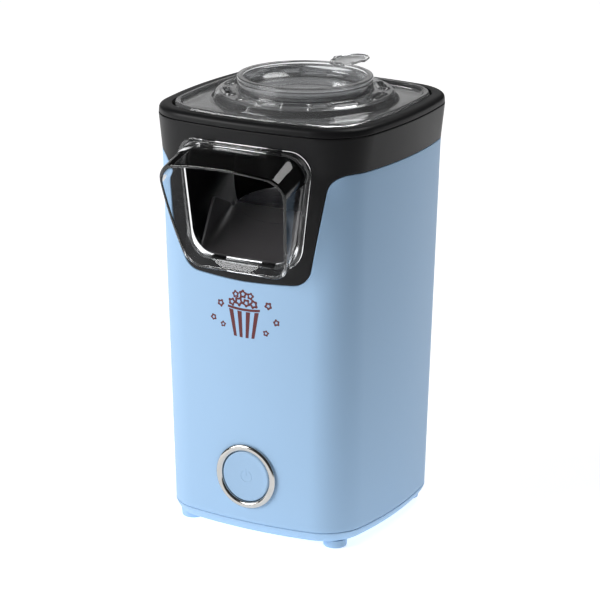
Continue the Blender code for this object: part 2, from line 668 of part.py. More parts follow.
def make_chamber_sleeve():
    top = FLANGE_Z - GAP
    tube = turned(ring_profile(FAN_RADIUS, FAN_RADIUS - 1.4 * MM, FAN_TOP + GAP, top), hollow=True)
    sleeve = piece("chamber_sleeve", moved(tube, y=AXIS_Y), steel())
    ear = block((-3.0 * MM, -5.0 * MM, top - EAR_THICK), (8.0 * MM, 5.0 * MM, top))
    add(sleeve, about_axis(ear, EARS, EAR_CIRCLE))
    hole = turned([(1.8 * MM, top - 6.0 * MM), (1.8 * MM, top + 4.0 * MM)], SMALL)
    remove(sleeve, about_axis(hole, EARS, SCREW_CIRCLE))


def make_chamber_screws():
    head = FLANGE_Z - GAP - EAR_THICK - 0.1 * MM
    shape = turned([(3.0 * MM, head - 2.0 * MM), (3.0 * MM, head), (1.4 * MM, head + 0.1 * MM),
                    (1.4 * MM, DUCT_BOTTOM + 4.0 * MM)], SMALL)
    for number, angle in enumerate(EARS, 1):
        piece(f"chamber_screw_{number}", shape, steel(), x=SCREW_CIRCLE * cos(angle),
              y=AXIS_Y + SCREW_CIRCLE * sin(angle))


def make_chamber_gasket():
    low, high = FLANGE_Z + SHEET + GAP, DUCT_BOTTOM - GAP
    ring = turned(ring_profile(49.4 * MM, CHAMBER_RADIUS + GAP, low, high), hollow=True)
    piece("chamber_gasket", moved(ring, y=AXIS_Y), silicone())


def make_mica_boards():
    """Two crossed boards that carry the heating wire, halved into each other."""
    half, low, high, middle, thick = 46.0 * MM, 82.0 * MM, 95.4 * MM, 89.0 * MM, 0.5 * MM
    notch = thick + GAP
    upper_notch = [(-half, low), (half, low), (half, high), (notch, high), (notch, middle),
                   (-notch, middle), (-notch, high), (-half, high)]
    lower_notch = [(-half, low), (-notch, low), (-notch, middle + GAP), (notch, middle + GAP), (notch, low),
                   (half, low), (half, high), (-half, high)]
    piece("mica_board_wide", moved(prism(upper_notch, -thick, thick, "Y"), y=AXIS_Y), mica())
    piece("mica_board_deep", moved(prism(lower_notch, -thick, thick, "X"), y=AXIS_Y), mica())


def make_heating_coil():
    coil = spring_shape(33.0 * MM, 96.0 * MM, 110.0 * MM, 1.2 * MM, 3, steps=16)
    piece("heating_coil", moved(coil, y=AXIS_Y), steel())


def make_fan_housing():
    wall = 2.0 * MM
    profile = [(FAN_RADIUS, FAN_FLOOR), (FAN_RADIUS, FAN_TOP), (FAN_RADIUS - wall, FAN_TOP),
               (FAN_RADIUS - wall, FAN_FLOOR + wall), (5.4 * MM, FAN_FLOOR + wall), (5.4 * MM, FAN_FLOOR)]
    housing = piece("fan_housing", moved(turned(profile, hollow=True), y=AXIS_Y), grey_plastic())
    inlet = turned([(6.0 * MM, FAN_FLOOR - 4.0 * MM), (6.0 * MM, FAN_FLOOR + 6.0 * MM)], SMALL)
    screw_hole = turned([(1.7 * MM, FAN_FLOOR - 4.0 * MM), (1.7 * MM, FAN_FLOOR + 6.0 * MM)], SMALL)
    remove(housing, together([about_axis(inlet, [radians(22.5 + 45 * i) for i in range(8)], 26.0 * MM),
                              about_axis(screw_hole, (0.0, pi), MOTOR_SCREWS)]))


def make_fan():
    """The impeller, and the motor's shaft that carries it."""
    disc = [(40.0 * MM, 64.0 * MM), (40.0 * MM, 65.4 * MM), (6.0 * MM, 66.0 * MM), (5.0 * MM, 78.0 * MM),
            (SHAFT_RADIUS + GAP, 78.0 * MM), (SHAFT_RADIUS + GAP, 63.0 * MM), (5.0 * MM, 63.0 * MM)]
    fan = piece("fan_impeller", turned(disc, 32, hollow=True), nylon(), y=AXIS_Y)
    blade = block((14.0 * MM, -0.7 * MM, 64.6 * MM), (39.0 * MM, 0.7 * MM, 77.0 * MM))
    lean = Matrix.Rotation(radians(18), 4, "Z")
    blades = []
    for i in range(10):
        turn = Matrix.Rotation(2 * pi * i / 10, 4, "Z")
        blades.append(moved(moved(blade, turn=lean), turn=turn))
    add(fan, together(blades))
    shaft = turned([(SHAFT_RADIUS, 49.0 * MM), (SHAFT_RADIUS, 79.0 * MM)], SMALL)
    piece("motor_shaft", shaft, steel(), y=AXIS_Y)


def make_motor():
    top = FAN_FLOOR - GAP
    profile = [(14.0 * MM, 20.0 * MM), (14.0 * MM, top), (5.0 * MM, top), (5.0 * MM, top + 3.0 * MM),
               (SHAFT_RADIUS + GAP, top + 3.0 * MM), (SHAFT_RADIUS + GAP, 48.0 * MM)]
    motor = piece("motor", moved(turned(profile, 24), y=AXIS_Y), steel())
    tapped = turned([(1.3 * MM, top - 5.0 * MM), (1.3 * MM, top + 4.0 * MM)], SMALL)
    remove(motor, about_axis(tapped, (0.0, pi), MOTOR_SCREWS))
    floor = FAN_FLOOR + 2.0 * MM
    screw = turned([(1.0 * MM, top - 4.0 * MM), (1.0 * MM, floor + 0.1 * MM), (2.6 * MM, floor + 0.2 * MM),
                    (2.6 * MM, floor + 1.6 * MM)], SMALL)
    for number, side in enumerate((1, -1), 1):
        piece(f"motor_screw_{number}", screw, steel(), x=side * MOTOR_SCREWS, y=AXIS_Y)


def make_rectifier_board():
    board = piece("rectifier_board", block((-12.0 * MM, AXIS_Y - 12.0 * MM, 17.8 * MM),
                                           (12.0 * MM, AXIS_Y + 12.0 * MM, 19.4 * MM)), circuit_green())
    diode = block((-3.0 * MM, -1.6 * MM, 15.4 * MM), (3.0 * MM, 1.6 * MM, 18.2 * MM))
    add(board, together([moved(diode, x * MM, AXIS_Y + y * MM) for x in (-6, 6) for y in (-6, 6)]))


def make_heat_guards():
    """The thermostat and the one-shot fuse on the sleeve."""
    flat = Matrix.Rotation(-pi / 2, 4, "X")
    button = turned([(8.0 * MM, 0.0), (8.0 * MM, 4.0 * MM), (5.0 * MM, 4.2 * MM), (5.0 * MM, 7.0 * MM)], 20)
    piece("thermostat", moved(button, 0.0, 54.0 * MM, 140.0 * MM, flat), mica())
    piece("thermal_fuse", turned([(2.0 * MM, 0.0), (2.0 * MM, 12.0 * MM)], SMALL), nylon(),
          x=26.6 * MM, y=50.0 * MM, z=134.0 * MM)


# --------------------------------------------------------------- wiring

INLET_Z = 32.0 * MM


def inlet_shape(profile, hollow=False, sides=20):
    """A turned shape on the cord inlet's axis; heights count outwards from the rear surface."""
    rear = half_width(INLET_Z) - DEPTH_LESS
    return moved(turned(profile, sides, hollow), 0.0, rear, INLET_Z, Matrix.Rotation(-pi / 2, 4, "X"))


def make_cord_inlet():
    bore = 3.6 * MM
    profile = [(8.0 * MM, 0.5 * MM), (8.0 * MM, 2.0 * MM), (6.6 * MM, 3.4 * MM), (bore, 3.4 * MM),
               (bore, -7.0 * MM),
               (7.2 * MM, -7.0 * MM), (7.2 * MM, -3.0 * MM), (5.0 * MM, -3.0 * MM), (5.0 * MM, 0.5 * MM)]
    piece("cord_inlet", inlet_shape(profile, hollow=True), black_plastic())


def make_leads():
    """The leads between the inlet, the switch, the rectifier and the heater's thermostat."""
    routes = {
        "lead_to_switch": [(2, 62, 31), (12, 55, 29), (21, 42, 28), (21, 10, 28), (20, -14, 32),
                           (13, -30, 40), (5, -35.4, 44)],
        "lead_to_rectifier": [(-2, 62, 31), (-5, 52, 25), (-7, 36, 20), (-8, 20, 17)],
        "lead_to_heater": [(-5, -35.4, 44), (-13, -30, 40), (-20, -12, 30), (-21, 20, 26), (-34, 44, 34),
                           (-42, 52, 60), (-40, 53, 100), (-26, 58, 126), (-11, 58, 139)],
    }
    for name, points in routes.items():
        line = bpy.data.curves.new(name, "CURVE")
        line.dimensions = "3D"
        line.bevel_depth = 1.1 * MM
        line.bevel_resolution = 1
        line.resolution_u = 3
        line.use_fill_caps = True
        spline = line.splines.new("BEZIER")
        spline.bezier_points.add(len(points) - 1)
        for knot, place in zip(spline.bezier_points, points):
            knot.co = [c * MM for c in place]
            knot.handle_left_type = knot.handle_right_type = "AUTO"
        line.materials.append(lead_cover())
        lead = bpy.data.objects.new(name, line)
        lead.parent = machine()
        bpy.context.scene.collection.objects.link(lead)


def main():
    for old in list(bpy.data.objects):
        bpy.data.objects.remove(old, do_unlink=True)
    make_base_plate()
    make_feet()
    make_base_screws()
    make_lower_housing()
    make_upper_housing()
    make_top_rim()
    make_top_deck()
    make_chute_duct()
    make_chute_shield()
    make_lid()
    make_measuring_cup()
    make_button_group()
    make_popping_chamber()
    make_chamber_sleeve()
    make_chamber_screws()
    make_chamber_gasket()
    make_mica_boards()
    make_heating_coil()
    make_fan_housing()
    make_fan()
    make_motor()
    make_rectifier_board()
    make_heat_guards()
    make_cord_inlet()
    make_leads()


main()
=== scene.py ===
"""Fine surfaces and finishes of a square hot-air popcorn maker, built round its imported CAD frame.

Every visible shape is a surface worked out with numpy. Lengths are in metres; +Z is up and -Y is the front.
Shapes are written about the housing's own middle, and put() carries each to its place in the frame.
"""

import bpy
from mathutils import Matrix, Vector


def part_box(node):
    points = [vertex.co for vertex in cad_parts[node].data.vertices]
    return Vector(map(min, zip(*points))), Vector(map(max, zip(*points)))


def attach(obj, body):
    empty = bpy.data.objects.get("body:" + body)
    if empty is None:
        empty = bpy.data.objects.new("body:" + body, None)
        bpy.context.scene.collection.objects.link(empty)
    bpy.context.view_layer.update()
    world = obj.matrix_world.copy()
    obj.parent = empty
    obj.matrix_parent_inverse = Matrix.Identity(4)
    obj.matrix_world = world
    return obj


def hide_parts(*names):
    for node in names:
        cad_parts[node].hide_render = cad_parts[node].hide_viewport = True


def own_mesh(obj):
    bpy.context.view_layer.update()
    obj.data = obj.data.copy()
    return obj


bl_info = {
    "name": "Hot-air popcorn maker",
    "version": (1, 0, 0),
    "blender": (4, 5, 0),
    "location": "3D View > Sidebar > Popcorn",
    "description": "Builds the surfaces and finishes of a square hot-air popcorn maker",
    "category": "Add Mesh",
}

import bmesh
import bpy
import numpy as np
from bpy.props import FloatProperty, FloatVectorProperty, PointerProperty
from mathutils import Matrix

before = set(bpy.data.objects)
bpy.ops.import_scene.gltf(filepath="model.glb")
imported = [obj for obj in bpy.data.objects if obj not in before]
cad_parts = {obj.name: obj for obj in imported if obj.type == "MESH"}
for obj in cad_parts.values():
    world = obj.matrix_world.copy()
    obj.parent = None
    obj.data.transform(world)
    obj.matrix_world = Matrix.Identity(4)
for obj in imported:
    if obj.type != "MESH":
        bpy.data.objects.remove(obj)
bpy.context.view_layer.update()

MM = 0.001
PI = np.pi


# ------------------------------------------------------------ driving sizes, read from the frame

def low(name):
    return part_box(name)[0]


def high(name):
    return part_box(name)[1]


HOUSING_Y = (low("lower_housing").y + high("lower_housing").y) / 2
HOUSING_BOTTOM = low("lower_housing").z
COLLAR_BOTTOM = high("lower_housing").z
COLLAR_TOP = high("upper_housing").z
COLLAR_HALF = high("lower_housing").x
TOP_HALF = high("upper_housing").x
RIM_HALF = high("top_rim").x
RIM_TOP = high("top_rim").z
LID_HALF = high("lid").x
PLATE_BOTTOM = low("base_plate").z
FOOT_X = (low("foot_front_right").x + high("foot_front_right").x) / 2
FOOT_Y = HOUSING_Y - (low("foot_front_right").y + high("foot_front_right").y) / 2
FOOT_RADIUS = (high("foot_front_right").x - low("foot_front_right").x) / 2
AXIS_Y = (low("chamber_gasket").y + high("chamber_gasket").y) / 2 - HOUSING_Y
CUP_TOP = high("measuring_cup").z
CHAMBER_TOP = high("popping_chamber").z
BUTTON_Z = (low("button_bezel").z + high("button_bezel").z) / 2
INLET_Z = (low("cord_inlet").z + high("cord_inlet").z) / 2

FOOT_HALF = 72.9 * MM           # the housing's half width at its bottom edge
SKIRT_BOTTOM = HOUSING_BOTTOM - 2.0 * MM    # where the seam over the base plate is drawn
DEPTH_LESS = 0.5 * MM           # the housing is this much less deep than wide, each side
BULGE, CORNER = 274.0 * MM, 31.0 * MM
TOP_BULGE, TOP_CORNER = 320.0 * MM, 36.0 * MM
WALL = 2.4 * MM
SEAM = 0.3 * MM
SOFT_KINK = 3.0 * MM            # height over which the taper turns into the collar's flare
TAPER = (COLLAR_HALF - FOOT_HALF) / (COLLAR_BOTTOM - HOUSING_BOTTOM)
FLARE = (TOP_HALF - COLLAR_HALF) / (COLLAR_TOP - COLLAR_BOTTOM)

BIB_HALF, BIB_LOW = 70.5 * MM, 177.6 * MM
BIB_FILLET = 14.0 * MM
BIB_CORNER_AT, BIB_CORNER = (33.6 * MM, 192.6 * MM), 13.4 * MM

RAMP_FRONT_Y, RAMP_FRONT_Z, RAMP_SLOPE = -72.0 * MM, 192.0 * MM, 0.6
CHUTE_TOP = 262.0 * MM
WELL_RADIUS = 46.5 * MM
BEZEL_OUTER, BEZEL_INNER = 22.0 * MM, 17.6 * MM
BUTTON_RADIUS = 17.2 * MM
BUTTON_BORE = 20.4 * MM
WINDOW_AT = (0.0, 224.0 * MM)    # a point inside the chute's window, in (x, z)
PRINT_SUNK = -0.02 * MM         # how far off the front the print's underside is


# ------------------------------------------------------------ settings

def length_property(label, text, value, least=0.1 * MM):
    return FloatProperty(name=label, description=text, default=value, min=least, subtype="DISTANCE",
                         unit="LENGTH")


class PopcornSizes(bpy.types.PropertyGroup):
    """Sizes that a maker would change without touching the frame."""
    seam_round: length_property("Seam rounding", "Radius on the edges at the seams", 0.5 * MM)
    rim_round: length_property("Rim rounding", "Radius on the top rim's edges", 1.2 * MM)
    slot_lip: length_property("Slot lip", "Height of the raised lip round each vent slot", 0.9 * MM, 0.0)
    print_height: length_property("Print height", "Thickness of the printed pictogram", 0.06 * MM, 0.01 * MM)
    grain_depth: length_property("Grain depth", "Depth of the moulded plastic's grain", 0.02 * MM, 0.0)


def colour_property(label, text, value):
    return FloatVectorProperty(name=label, description=text, default=value, min=0.0, max=1.0,
                               size=3, subtype="COLOR")


class PopcornColours(bpy.types.PropertyGroup):
    """Colours of the finishes, linear."""
    blue: colour_property("Blue", "Housing, base and button", (0.395, 0.600, 0.850))
    black: colour_property("Black", "Collar, rim and deck", (0.010, 0.010, 0.011))
    grey: colour_property("Dark grey", "Chute and fan housing", (0.040, 0.038, 0.040))
    print_red: colour_property("Print", "Pictogram on the front", (0.120, 0.008, 0.012))
    clear: colour_property("Clear plastic", "Lid, cup and chute hood", (0.965, 0.975, 0.985))
    chrome: colour_property("Chrome", "Ring round the button", (0.56, 0.545, 0.52))
    floor: colour_property("Floor", "The stage's floor", (0.90, 0.90, 0.90))


def sizes():
    return bpy.context.scene.popcorn_sizes


def colours():
    return bpy.context.scene.popcorn_colours


# ------------------------------------------------------------ the housing's plan

def plan_centres(half, bulge, corner):
    """Centres of the front arc, side arc and corner arc, and the turns at which the corner starts and ends.

    The corner's centre lies bulge - corner from both wide arcs' centres, so all three arcs are tangent.
    """
    front_y = bulge - (half - DEPTH_LESS)
    side_x = half - bulge
    reach = np.hypot(side_x, front_y)
    rise = np.sqrt((bulge - corner) ** 2 - (reach / 2) ** 2)
    corner_x = side_x / 2 + front_y / reach * rise
    corner_y = front_y / 2 + side_x / reach * rise
    starts = np.arctan2(corner_x, front_y - corner_y)
    ends = np.arctan2(corner_x - side_x, -corner_y)
    return front_y, side_x, corner_x, corner_y, starts, ends


def plan_point(turn, half, bulge, corner):
    """The plan's point whose outward normal is turned by `turn` from the front.

    Each point is an arc's centre plus its radius along the normal, so a smaller half width, bulge and
    corner, all by the same amount, give an exact parallel inset.
    """
    turn, half, bulge, corner = np.broadcast_arrays(turn, half, bulge, corner)
    across, along = np.sin(turn), np.cos(turn)
    bearing = np.arctan2(np.abs(across), np.abs(along))
    front_y, side_x, corner_x, corner_y, starts, ends = plan_centres(half, bulge, corner)
    in_front, in_side = bearing < starts, bearing > ends
    centre_x = np.where(in_front, 0.0, np.where(in_side, side_x, corner_x))
    centre_y = np.where(in_front, front_y, np.where(in_side, 0.0, corner_y))
    radius = np.where(in_front | in_side, bulge, corner)
    x = centre_x + radius * np.sin(bearing)
    y = centre_y - radius * np.cos(bearing)
    return np.where(across < 0, -x, x), np.where(along < 0, -y, y)


def flared(z):
    """How far z is above the collar's start, eased over SOFT_KINK and never negative."""
    above = np.asarray(z, float) - COLLAR_BOTTOM
    return (above + np.sqrt(above ** 2 + SOFT_KINK ** 2)) / 2


def housing_sizes(z):
    """Half width, side radius and corner radius of the housing at height z."""
    share = flared(z) / (COLLAR_TOP - COLLAR_BOTTOM)
    half = FOOT_HALF + TAPER * (z - HOUSING_BOTTOM) + (FLARE - TAPER) * flared(z)
    return half, BULGE + (TOP_BULGE - BULGE) * share, CORNER + (TOP_CORNER - CORNER) * share


def shell_point(girth, z, depth=0.0):
    """A point on the housing: girth is the way round from the front's middle, depth goes into the wall."""
    half, bulge, corner = housing_sizes(z)
    x, y = plan_point(turn_at(girth), half - depth, bulge - depth, corner - depth)
    return joined(x, y, z)


def front_turn(x, z):
    """The turn at which the front reaches x at height z."""
    half, bulge, corner = housing_sizes(z)
    _, _, corner_x, _, starts, _ = plan_centres(half, bulge, corner)
    on_arc = np.arcsin(np.clip(np.abs(x) / bulge, 0, 1))
    on_corner = np.arcsin(np.clip((np.abs(x) - corner_x) / corner, -1, 1))
    return np.sign(x) * np.where(on_arc < starts, on_arc, on_corner)


def front_point(x, z, off=0.0):
    """A point on the front at (x, z), moved forward by off."""
    half, bulge, _ = housing_sizes(z)
    y = bulge - (half - DEPTH_LESS) - np.sqrt(bulge ** 2 - np.asarray(x) ** 2)
    return joined(x, y - off, z)


def on_front(loop):
    """A loop of (x, z) on the front as (girth, z)."""
    return joined(girth_at(front_turn(loop[:, 0], loop[:, 1])), loop[:, 1])


def girth_table():
    """Turns, and the girths reached there, from the front's middle to the back's, at half height."""
    half, bulge, corner = housing_sizes((HOUSING_BOTTOM + COLLAR_BOTTOM) / 2)
    *_, starts, ends = plan_centres(half, bulge, corner)
    turns = np.array([0.0, starts, ends, PI / 2])
    girths = np.concatenate([[0.0], np.cumsum(np.diff(turns) * [bulge, corner, bulge])])
    return (np.concatenate([turns, PI - turns[-2::-1]]),
            np.concatenate([girths, 2 * girths[-1] - girths[-2::-1]]))


TURNS, GIRTHS = girth_table()
HALF_GIRTH = GIRTHS[-1]


def turn_at(girth):
    """The turn reached at a girth, read off the table."""
    return np.sign(girth) * np.interp(np.abs(girth), GIRTHS, TURNS)


def girth_at(turn):
    """The girth reached at a turn, read off the table."""
    return np.sign(turn) * np.interp(np.abs(turn), TURNS, GIRTHS)


def ring_turns(count):
    """Turns spaced evenly along the plan."""
    return turn_at(np.linspace(-HALF_GIRTH, HALF_GIRTH, count, endpoint=False))


# ------------------------------------------------------------ curves

def joined(*parts):
    """Coordinates broadcast together into one array of points."""
    return np.stack(np.broadcast_arrays(*parts), -1)


def raised(flat, z):
    """Flat points given their height."""
    return np.concatenate([flat, np.broadcast_to(z, flat.shape[:-1] + (1,))], -1)


def between(first, last, count):
    """Rows that go straight from one row of points to another, both included."""
    return first + (last - first) * np.linspace(0, 1, count)[:, None, None]


def arc(centre, radius, start, end, count):
    """Points on an arc; angles in degrees, both ends included."""
    t = np.radians(np.linspace(start, end, count))
    return joined(centre[0] + radius * np.cos(t), centre[1] + radius * np.sin(t))


def rounded(corners, radius, steps=5, closed=True):
    """Rounds a polygon, or a stack of rings that form one profile per column.

    Each corner becomes a quadratic curve that leaves and meets its sides at radius from the corner.
    """
    p = np.asarray(corners, float)
    before, after = np.roll(p, 1, 0) - p, np.roll(p, -1, 0) - p
    radius = np.reshape(np.broadcast_to(radius, len(p)), (-1,) + (1,) * (p.ndim - 1))

    def towards(side):
        length = np.linalg.norm(side, axis=-1, keepdims=True)
        return p + side / np.maximum(length, 1e-9) * np.minimum(radius, 0.45 * length)

    start, end = towards(before), towards(after)
    if not closed:
        start[0], end[0], start[-1], end[-1] = p[0], p[0], p[-1], p[-1]
    t = np.linspace(0, 1, steps).reshape((1, -1) + (1,) * (p.ndim - 1))
    curve = (1 - t) ** 2 * start[:, None] + 2 * t * (1 - t) * p[:, None] + t ** 2 * end[:, None]
    return curve.reshape((-1,) + p.shape[1:])


def matched(points, outline, centre):
    """For each of points, the place on the outline in the same direction from centre."""
    def bearing(p):
        return np.arctan2(p[:, 1] - centre[1], p[:, 0] - centre[0])

    order = np.argsort(bearing(outline))
    around, placed = bearing(outline)[order], outline[order]
    around = np.concatenate([around - 2 * PI, around, around + 2 * PI])
    placed = np.tile(placed, (3, 1))
    wanted = bearing(points)
    return np.stack([np.interp(wanted, around, placed[:, k]) for k in (0, 1)], -1)


def hood_loop(half_top, half_bottom, top, bottom, round_top, round_bottom, bow=0.0, steps=12):
    """A rounded trapezoid in (x, z), wider at the top; bow lifts the middle of its top edge."""
    lean = np.degrees(np.arctan2(half_top - half_bottom, top - bottom))
    tilt = np.radians(lean)
    low_at = (half_bottom + tilt * round_bottom - round_bottom, bottom + round_bottom)
    high_at = (half_top - tilt * round_top - round_top, top - round_top)
    low_arc = arc(low_at, round_bottom, -90, -lean, steps)
    high_arc = arc(high_at, round_top, -lean, 90, steps)
    along = np.linspace(0, 1, steps, endpoint=False)[:, None]
    base = along * low_arc[0] + (1 - along) * (0.0, bottom)
    side = (low_arc[-1] + along * (high_arc[0] - low_arc[-1]))[1:]
    roof = high_arc[-1] + along * (np.array([0.0, top]) - high_arc[-1])
    right = np.concatenate([base, low_arc, side, high_arc, roof[1:], [(0.0, top)]])
    lift = bow * np.clip(1 - (right[:, 0] / half_top) ** 2, 0, 1) * (right[:, 1] > high_at[1])
    right[:, 1] += lift
    return np.concatenate([right, right[-2:0:-1] * (-1, 1)])


# ------------------------------------------------------------ meshes

def grid_faces(rows, columns, wrap_rows, wrap_columns, left_out=None):
    """Four-cornered faces over a grid of points, without the cells that left_out marks."""
    r, c = np.meshgrid(np.arange(rows if wrap_rows else rows - 1),
                       np.arange(columns if wrap_columns else columns - 1), indexing="ij")
    r_next, c_next = (r + 1) % rows, (c + 1) % columns
    cells = joined(r * columns + c, r * columns + c_next, r_next * columns + c_next,
                      r_next * columns + c)
    if left_out is not None:
        cells = cells[~left_out[:cells.shape[0], :cells.shape[1]]]
    return cells.reshape(-1, 4)


def cells_out(shape, *blocks):
    """Marks blocks of a grid's cells, each (row, row after, column, column after), to be left out."""
    marked = np.zeros(shape, bool)
    for r0, r1, c0, c1 in blocks:
        marked[r0:r1, c0:c1] = True
    return marked


def sheet(points, wrap_rows=False, wrap_columns=True, left_out=None, finish=0):
    """One grid of points, shape (rows, columns, 3), ready for put()."""
    rows, columns = points.shape[:2]
    return points.reshape(-1, 3), grid_faces(rows, columns, wrap_rows, wrap_columns, left_out), finish


def tube_sheets(rings):
    """A tube through its rings, and a flat fan over each end."""
    ends = (rings[0], rings[-1])
    return [sheet(rings), *(sheet(np.stack([end, np.tile(end.mean(0), (len(end), 1))])) for end in ends)]


def put(name, sheets, finishes, body, stands_for=(), sharp=40.0, weld=0.002 * MM):
    """Welds sheets into one piece with its faces outwards, and hangs it on its body."""
    points, faces, marks, start = [], [], [], 0
    for some_points, some_faces, finish in sheets:
        points.append(some_points)
        faces.append(some_faces + start)
        marks.append(np.full(len(some_faces), finish))
        start += len(some_points)
    points = np.concatenate(points) + (0.0, HOUSING_Y, 0.0)
    mesh = bpy.data.meshes.new(name)
    mesh.from_pydata(points.tolist(), [], np.concatenate(faces).tolist())
    mesh.polygons.foreach_set("material_index", np.concatenate(marks).astype(np.int32))
    for finish in finishes:
        mesh.materials.append(finish)
    work = bmesh.new()
    work.from_mesh(mesh)
    bmesh.ops.remove_doubles(work, verts=work.verts, dist=weld)
    bmesh.ops.delete(work, geom=[e for e in work.edges if not e.link_faces], context="EDGES")
    bmesh.ops.recalc_face_normals(work, faces=work.faces)
    work.to_mesh(mesh)
    work.free()
    mesh.shade_smooth()
    mesh.set_sharp_from_angle(angle=np.radians(sharp))
    made = bpy.data.objects.new(name, mesh)
    bpy.context.scene.collection.objects.link(made)
    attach(made, body)
    if stands_for:
        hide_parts(*stands_for)
    return made


def carried(profile, turns, corner=TOP_CORNER, widest=None, bulge=TOP_BULGE):
    """A profile of (half width, z) pairs carried round the top's plan, with parallel insets."""
    profile = np.asarray(profile, float)
    widest = profile[:, 0].max() if widest is None else widest
    inset = widest - profile[:, :1]
    x, y = plan_point(turns[None, :], profile[:, :1], bulge - inset, corner - inset)
    return joined(x, y, profile[:, 1:2])


def turned(profile, angles, y=AXIS_Y):
    """A profile of (radius, z) pairs turned about a vertical axis."""
    profile = np.asarray(profile, float)
    r, z = profile[:, :1], profile[:, 1:2]
    return joined(r * np.cos(angles), y + r * np.sin(angles), z)


def circle(count):
    """Angles spaced evenly over a whole turn."""
    return np.linspace(0, 2 * PI, count, endpoint=False)


def block_loop(r0, r1, c0, c1):
    """Row and column numbers once round a block of cells."""
    rows = [np.full(c1 - c0, r0), np.arange(r0, r1), np.full(c1 - c0, r1), np.arange(r1, r0, -1)]
    columns = [np.arange(c0, c1), np.full(r1 - r0, c1), np.arange(c1, c0, -1), np.full(r1 - r0, c0)]
    return np.concatenate(rows), np.concatenate(columns)


def button_frame(points):
    """Local points to the button's axis: local z goes into the housing, local -y is up."""
    tilt = np.arctan(TAPER)
    inwards = np.array([0.0, np.cos(tilt), np.sin(tilt)])
    down = np.array([0.0, np.sin(tilt), -np.cos(tilt)])
    return (front_point(0.0, BUTTON_Z) + points[..., :1] * (1.0, 0.0, 0.0)
            + points[..., 1:2] * down + points[..., 2:3] * inwards)


# ------------------------------------------------------------ node groups and finishes


def feed(tree, made, inputs):
    """Sets a node's inputs, or links them where the value is another node's socket."""
    for name, value in inputs.items():
        if isinstance(value, bpy.types.NodeSocket):
            tree.links.new(value, made.inputs[name])
        else:
            made.inputs[name].default_value = value


def node(tree, kind, inputs, **settings):
    """A new shader node with its settings and inputs."""
    made = tree.nodes.new(f"ShaderNode{kind}")
    for name, value in settings.items():
        setattr(made, name, value)
    feed(tree, made, inputs)
    return made


def scaled_noise(tree, vector, scale, **inputs):
    return node(tree, "TexNoise", {"Vector": vector, "Scale": scale, **inputs}).outputs["Fac"]


def changed(tree, value, change, base):
    """value * change + base."""
    return node(tree, "Math", {0: value, 1: change, 2: base}, operation="MULTIPLY_ADD").outputs[0]


def bumped(tree, height, distance):
    return node(tree, "Bump", {"Height": height, "Distance": distance, "Strength": 1.0}).outputs["Normal"]


def new_group(name, inputs, outputs):
    """An empty node group with named sockets; inputs hold (name, kind, value)."""
    group = bpy.data.node_groups.new(name, "ShaderNodeTree")
    for label, kind, value in inputs:
        group.interface.new_socket(label, in_out="INPUT", socket_type=kind).default_value = value
    for label, kind in outputs:
        group.interface.new_socket(label, in_out="OUTPUT", socket_type=kind)
    given = group.nodes.new("NodeGroupInput").outputs
    return group, given, node(group, "TexCoord", {}).outputs["Object"], group.nodes.new("NodeGroupOutput")


FLOAT, COLOUR, VECTOR = "NodeSocketFloat", "NodeSocketColor", "NodeSocketVector"


def moulded_group():
    """Grain of moulded plastic: a fine bump, slow roughness changes and a faint change of shade."""
    found = bpy.data.node_groups.get("moulded_grain")
    if found:
        return found
    group, given, place, made = new_group(
        "moulded_grain",
        [("Colour", COLOUR, (0.5, 0.5, 0.5, 1)), ("Roughness", FLOAT, 0.4), ("Roughness change", FLOAT, 0.08),
         ("Grain per metre", FLOAT, 1800.0), ("Grain depth", FLOAT, 0.00002), ("Shade change", FLOAT, 0.04)],
        [("Colour", COLOUR), ("Roughness", FLOAT), ("Normal", VECTOR)])
    grain = scaled_noise(group, place, given["Grain per metre"], Detail=3.0, Roughness=0.6)
    slow = scaled_noise(group, place, 22.0, Detail=4.0, Roughness=0.55)
    centred = node(group, "Math", {0: slow, 1: 0.5}, operation="SUBTRACT").outputs[0]
    shade = changed(group, centred, given["Shade change"], 1.0)
    toned = node(group, "VectorMath", {0: given["Colour"], "Scale": shade}, operation="SCALE")
    feed(group, made, {"Colour": toned.outputs[0],
                       "Roughness": changed(group, centred, given["Roughness change"], given["Roughness"]),
                       "Normal": bumped(group, grain, given["Grain depth"])})
    return group


def brushed_group():
    """Marks of turning or rolling on metal: noise drawn out along one axis."""
    found = bpy.data.node_groups.get("drawn_metal")
    if found:
        return found
    group, given, place, made = new_group(
        "drawn_metal", [("Stretch", VECTOR, (60.0, 60.0, 2500.0)), ("Roughness", FLOAT, 0.3),
                        ("Roughness change", FLOAT, 0.15), ("Mark depth", FLOAT, 0.00001)],
        [("Roughness", FLOAT), ("Normal", VECTOR)])
    drawn = node(group, "VectorMath", {0: place, 1: given["Stretch"]}, operation="MULTIPLY")
    marks = scaled_noise(group, drawn.outputs[0], 1.0, Detail=3.0)
    feed(group, made, {"Roughness": changed(group, marks, given["Roughness change"], given["Roughness"]),
                       "Normal": bumped(group, marks, given["Mark depth"])})
    return group


def shader_of(material):
    return material.node_tree.nodes["Principled BSDF"]


def grained(name, group, inputs, plain):
    """A material whose shader is fed by a shared group's outputs and by plain values.

    The frame's own plain materials keep their names, so a fine one has a name of its own.
    """
    found = bpy.data.materials.get(f"fine_{name}")
    if found:
        return found
    made = bpy.data.materials.new(f"fine_{name}")
    made.use_nodes = True
    tree = made.node_tree
    effect = node(tree, "Group", inputs, node_tree=group).outputs
    targets = {"Colour": "Base Color", "Roughness": "Roughness", "Normal": "Normal"}
    linked = {target: effect[source] for source, target in targets.items() if source in effect}
    feed(tree, shader_of(made), {**linked, **plain})
    return made


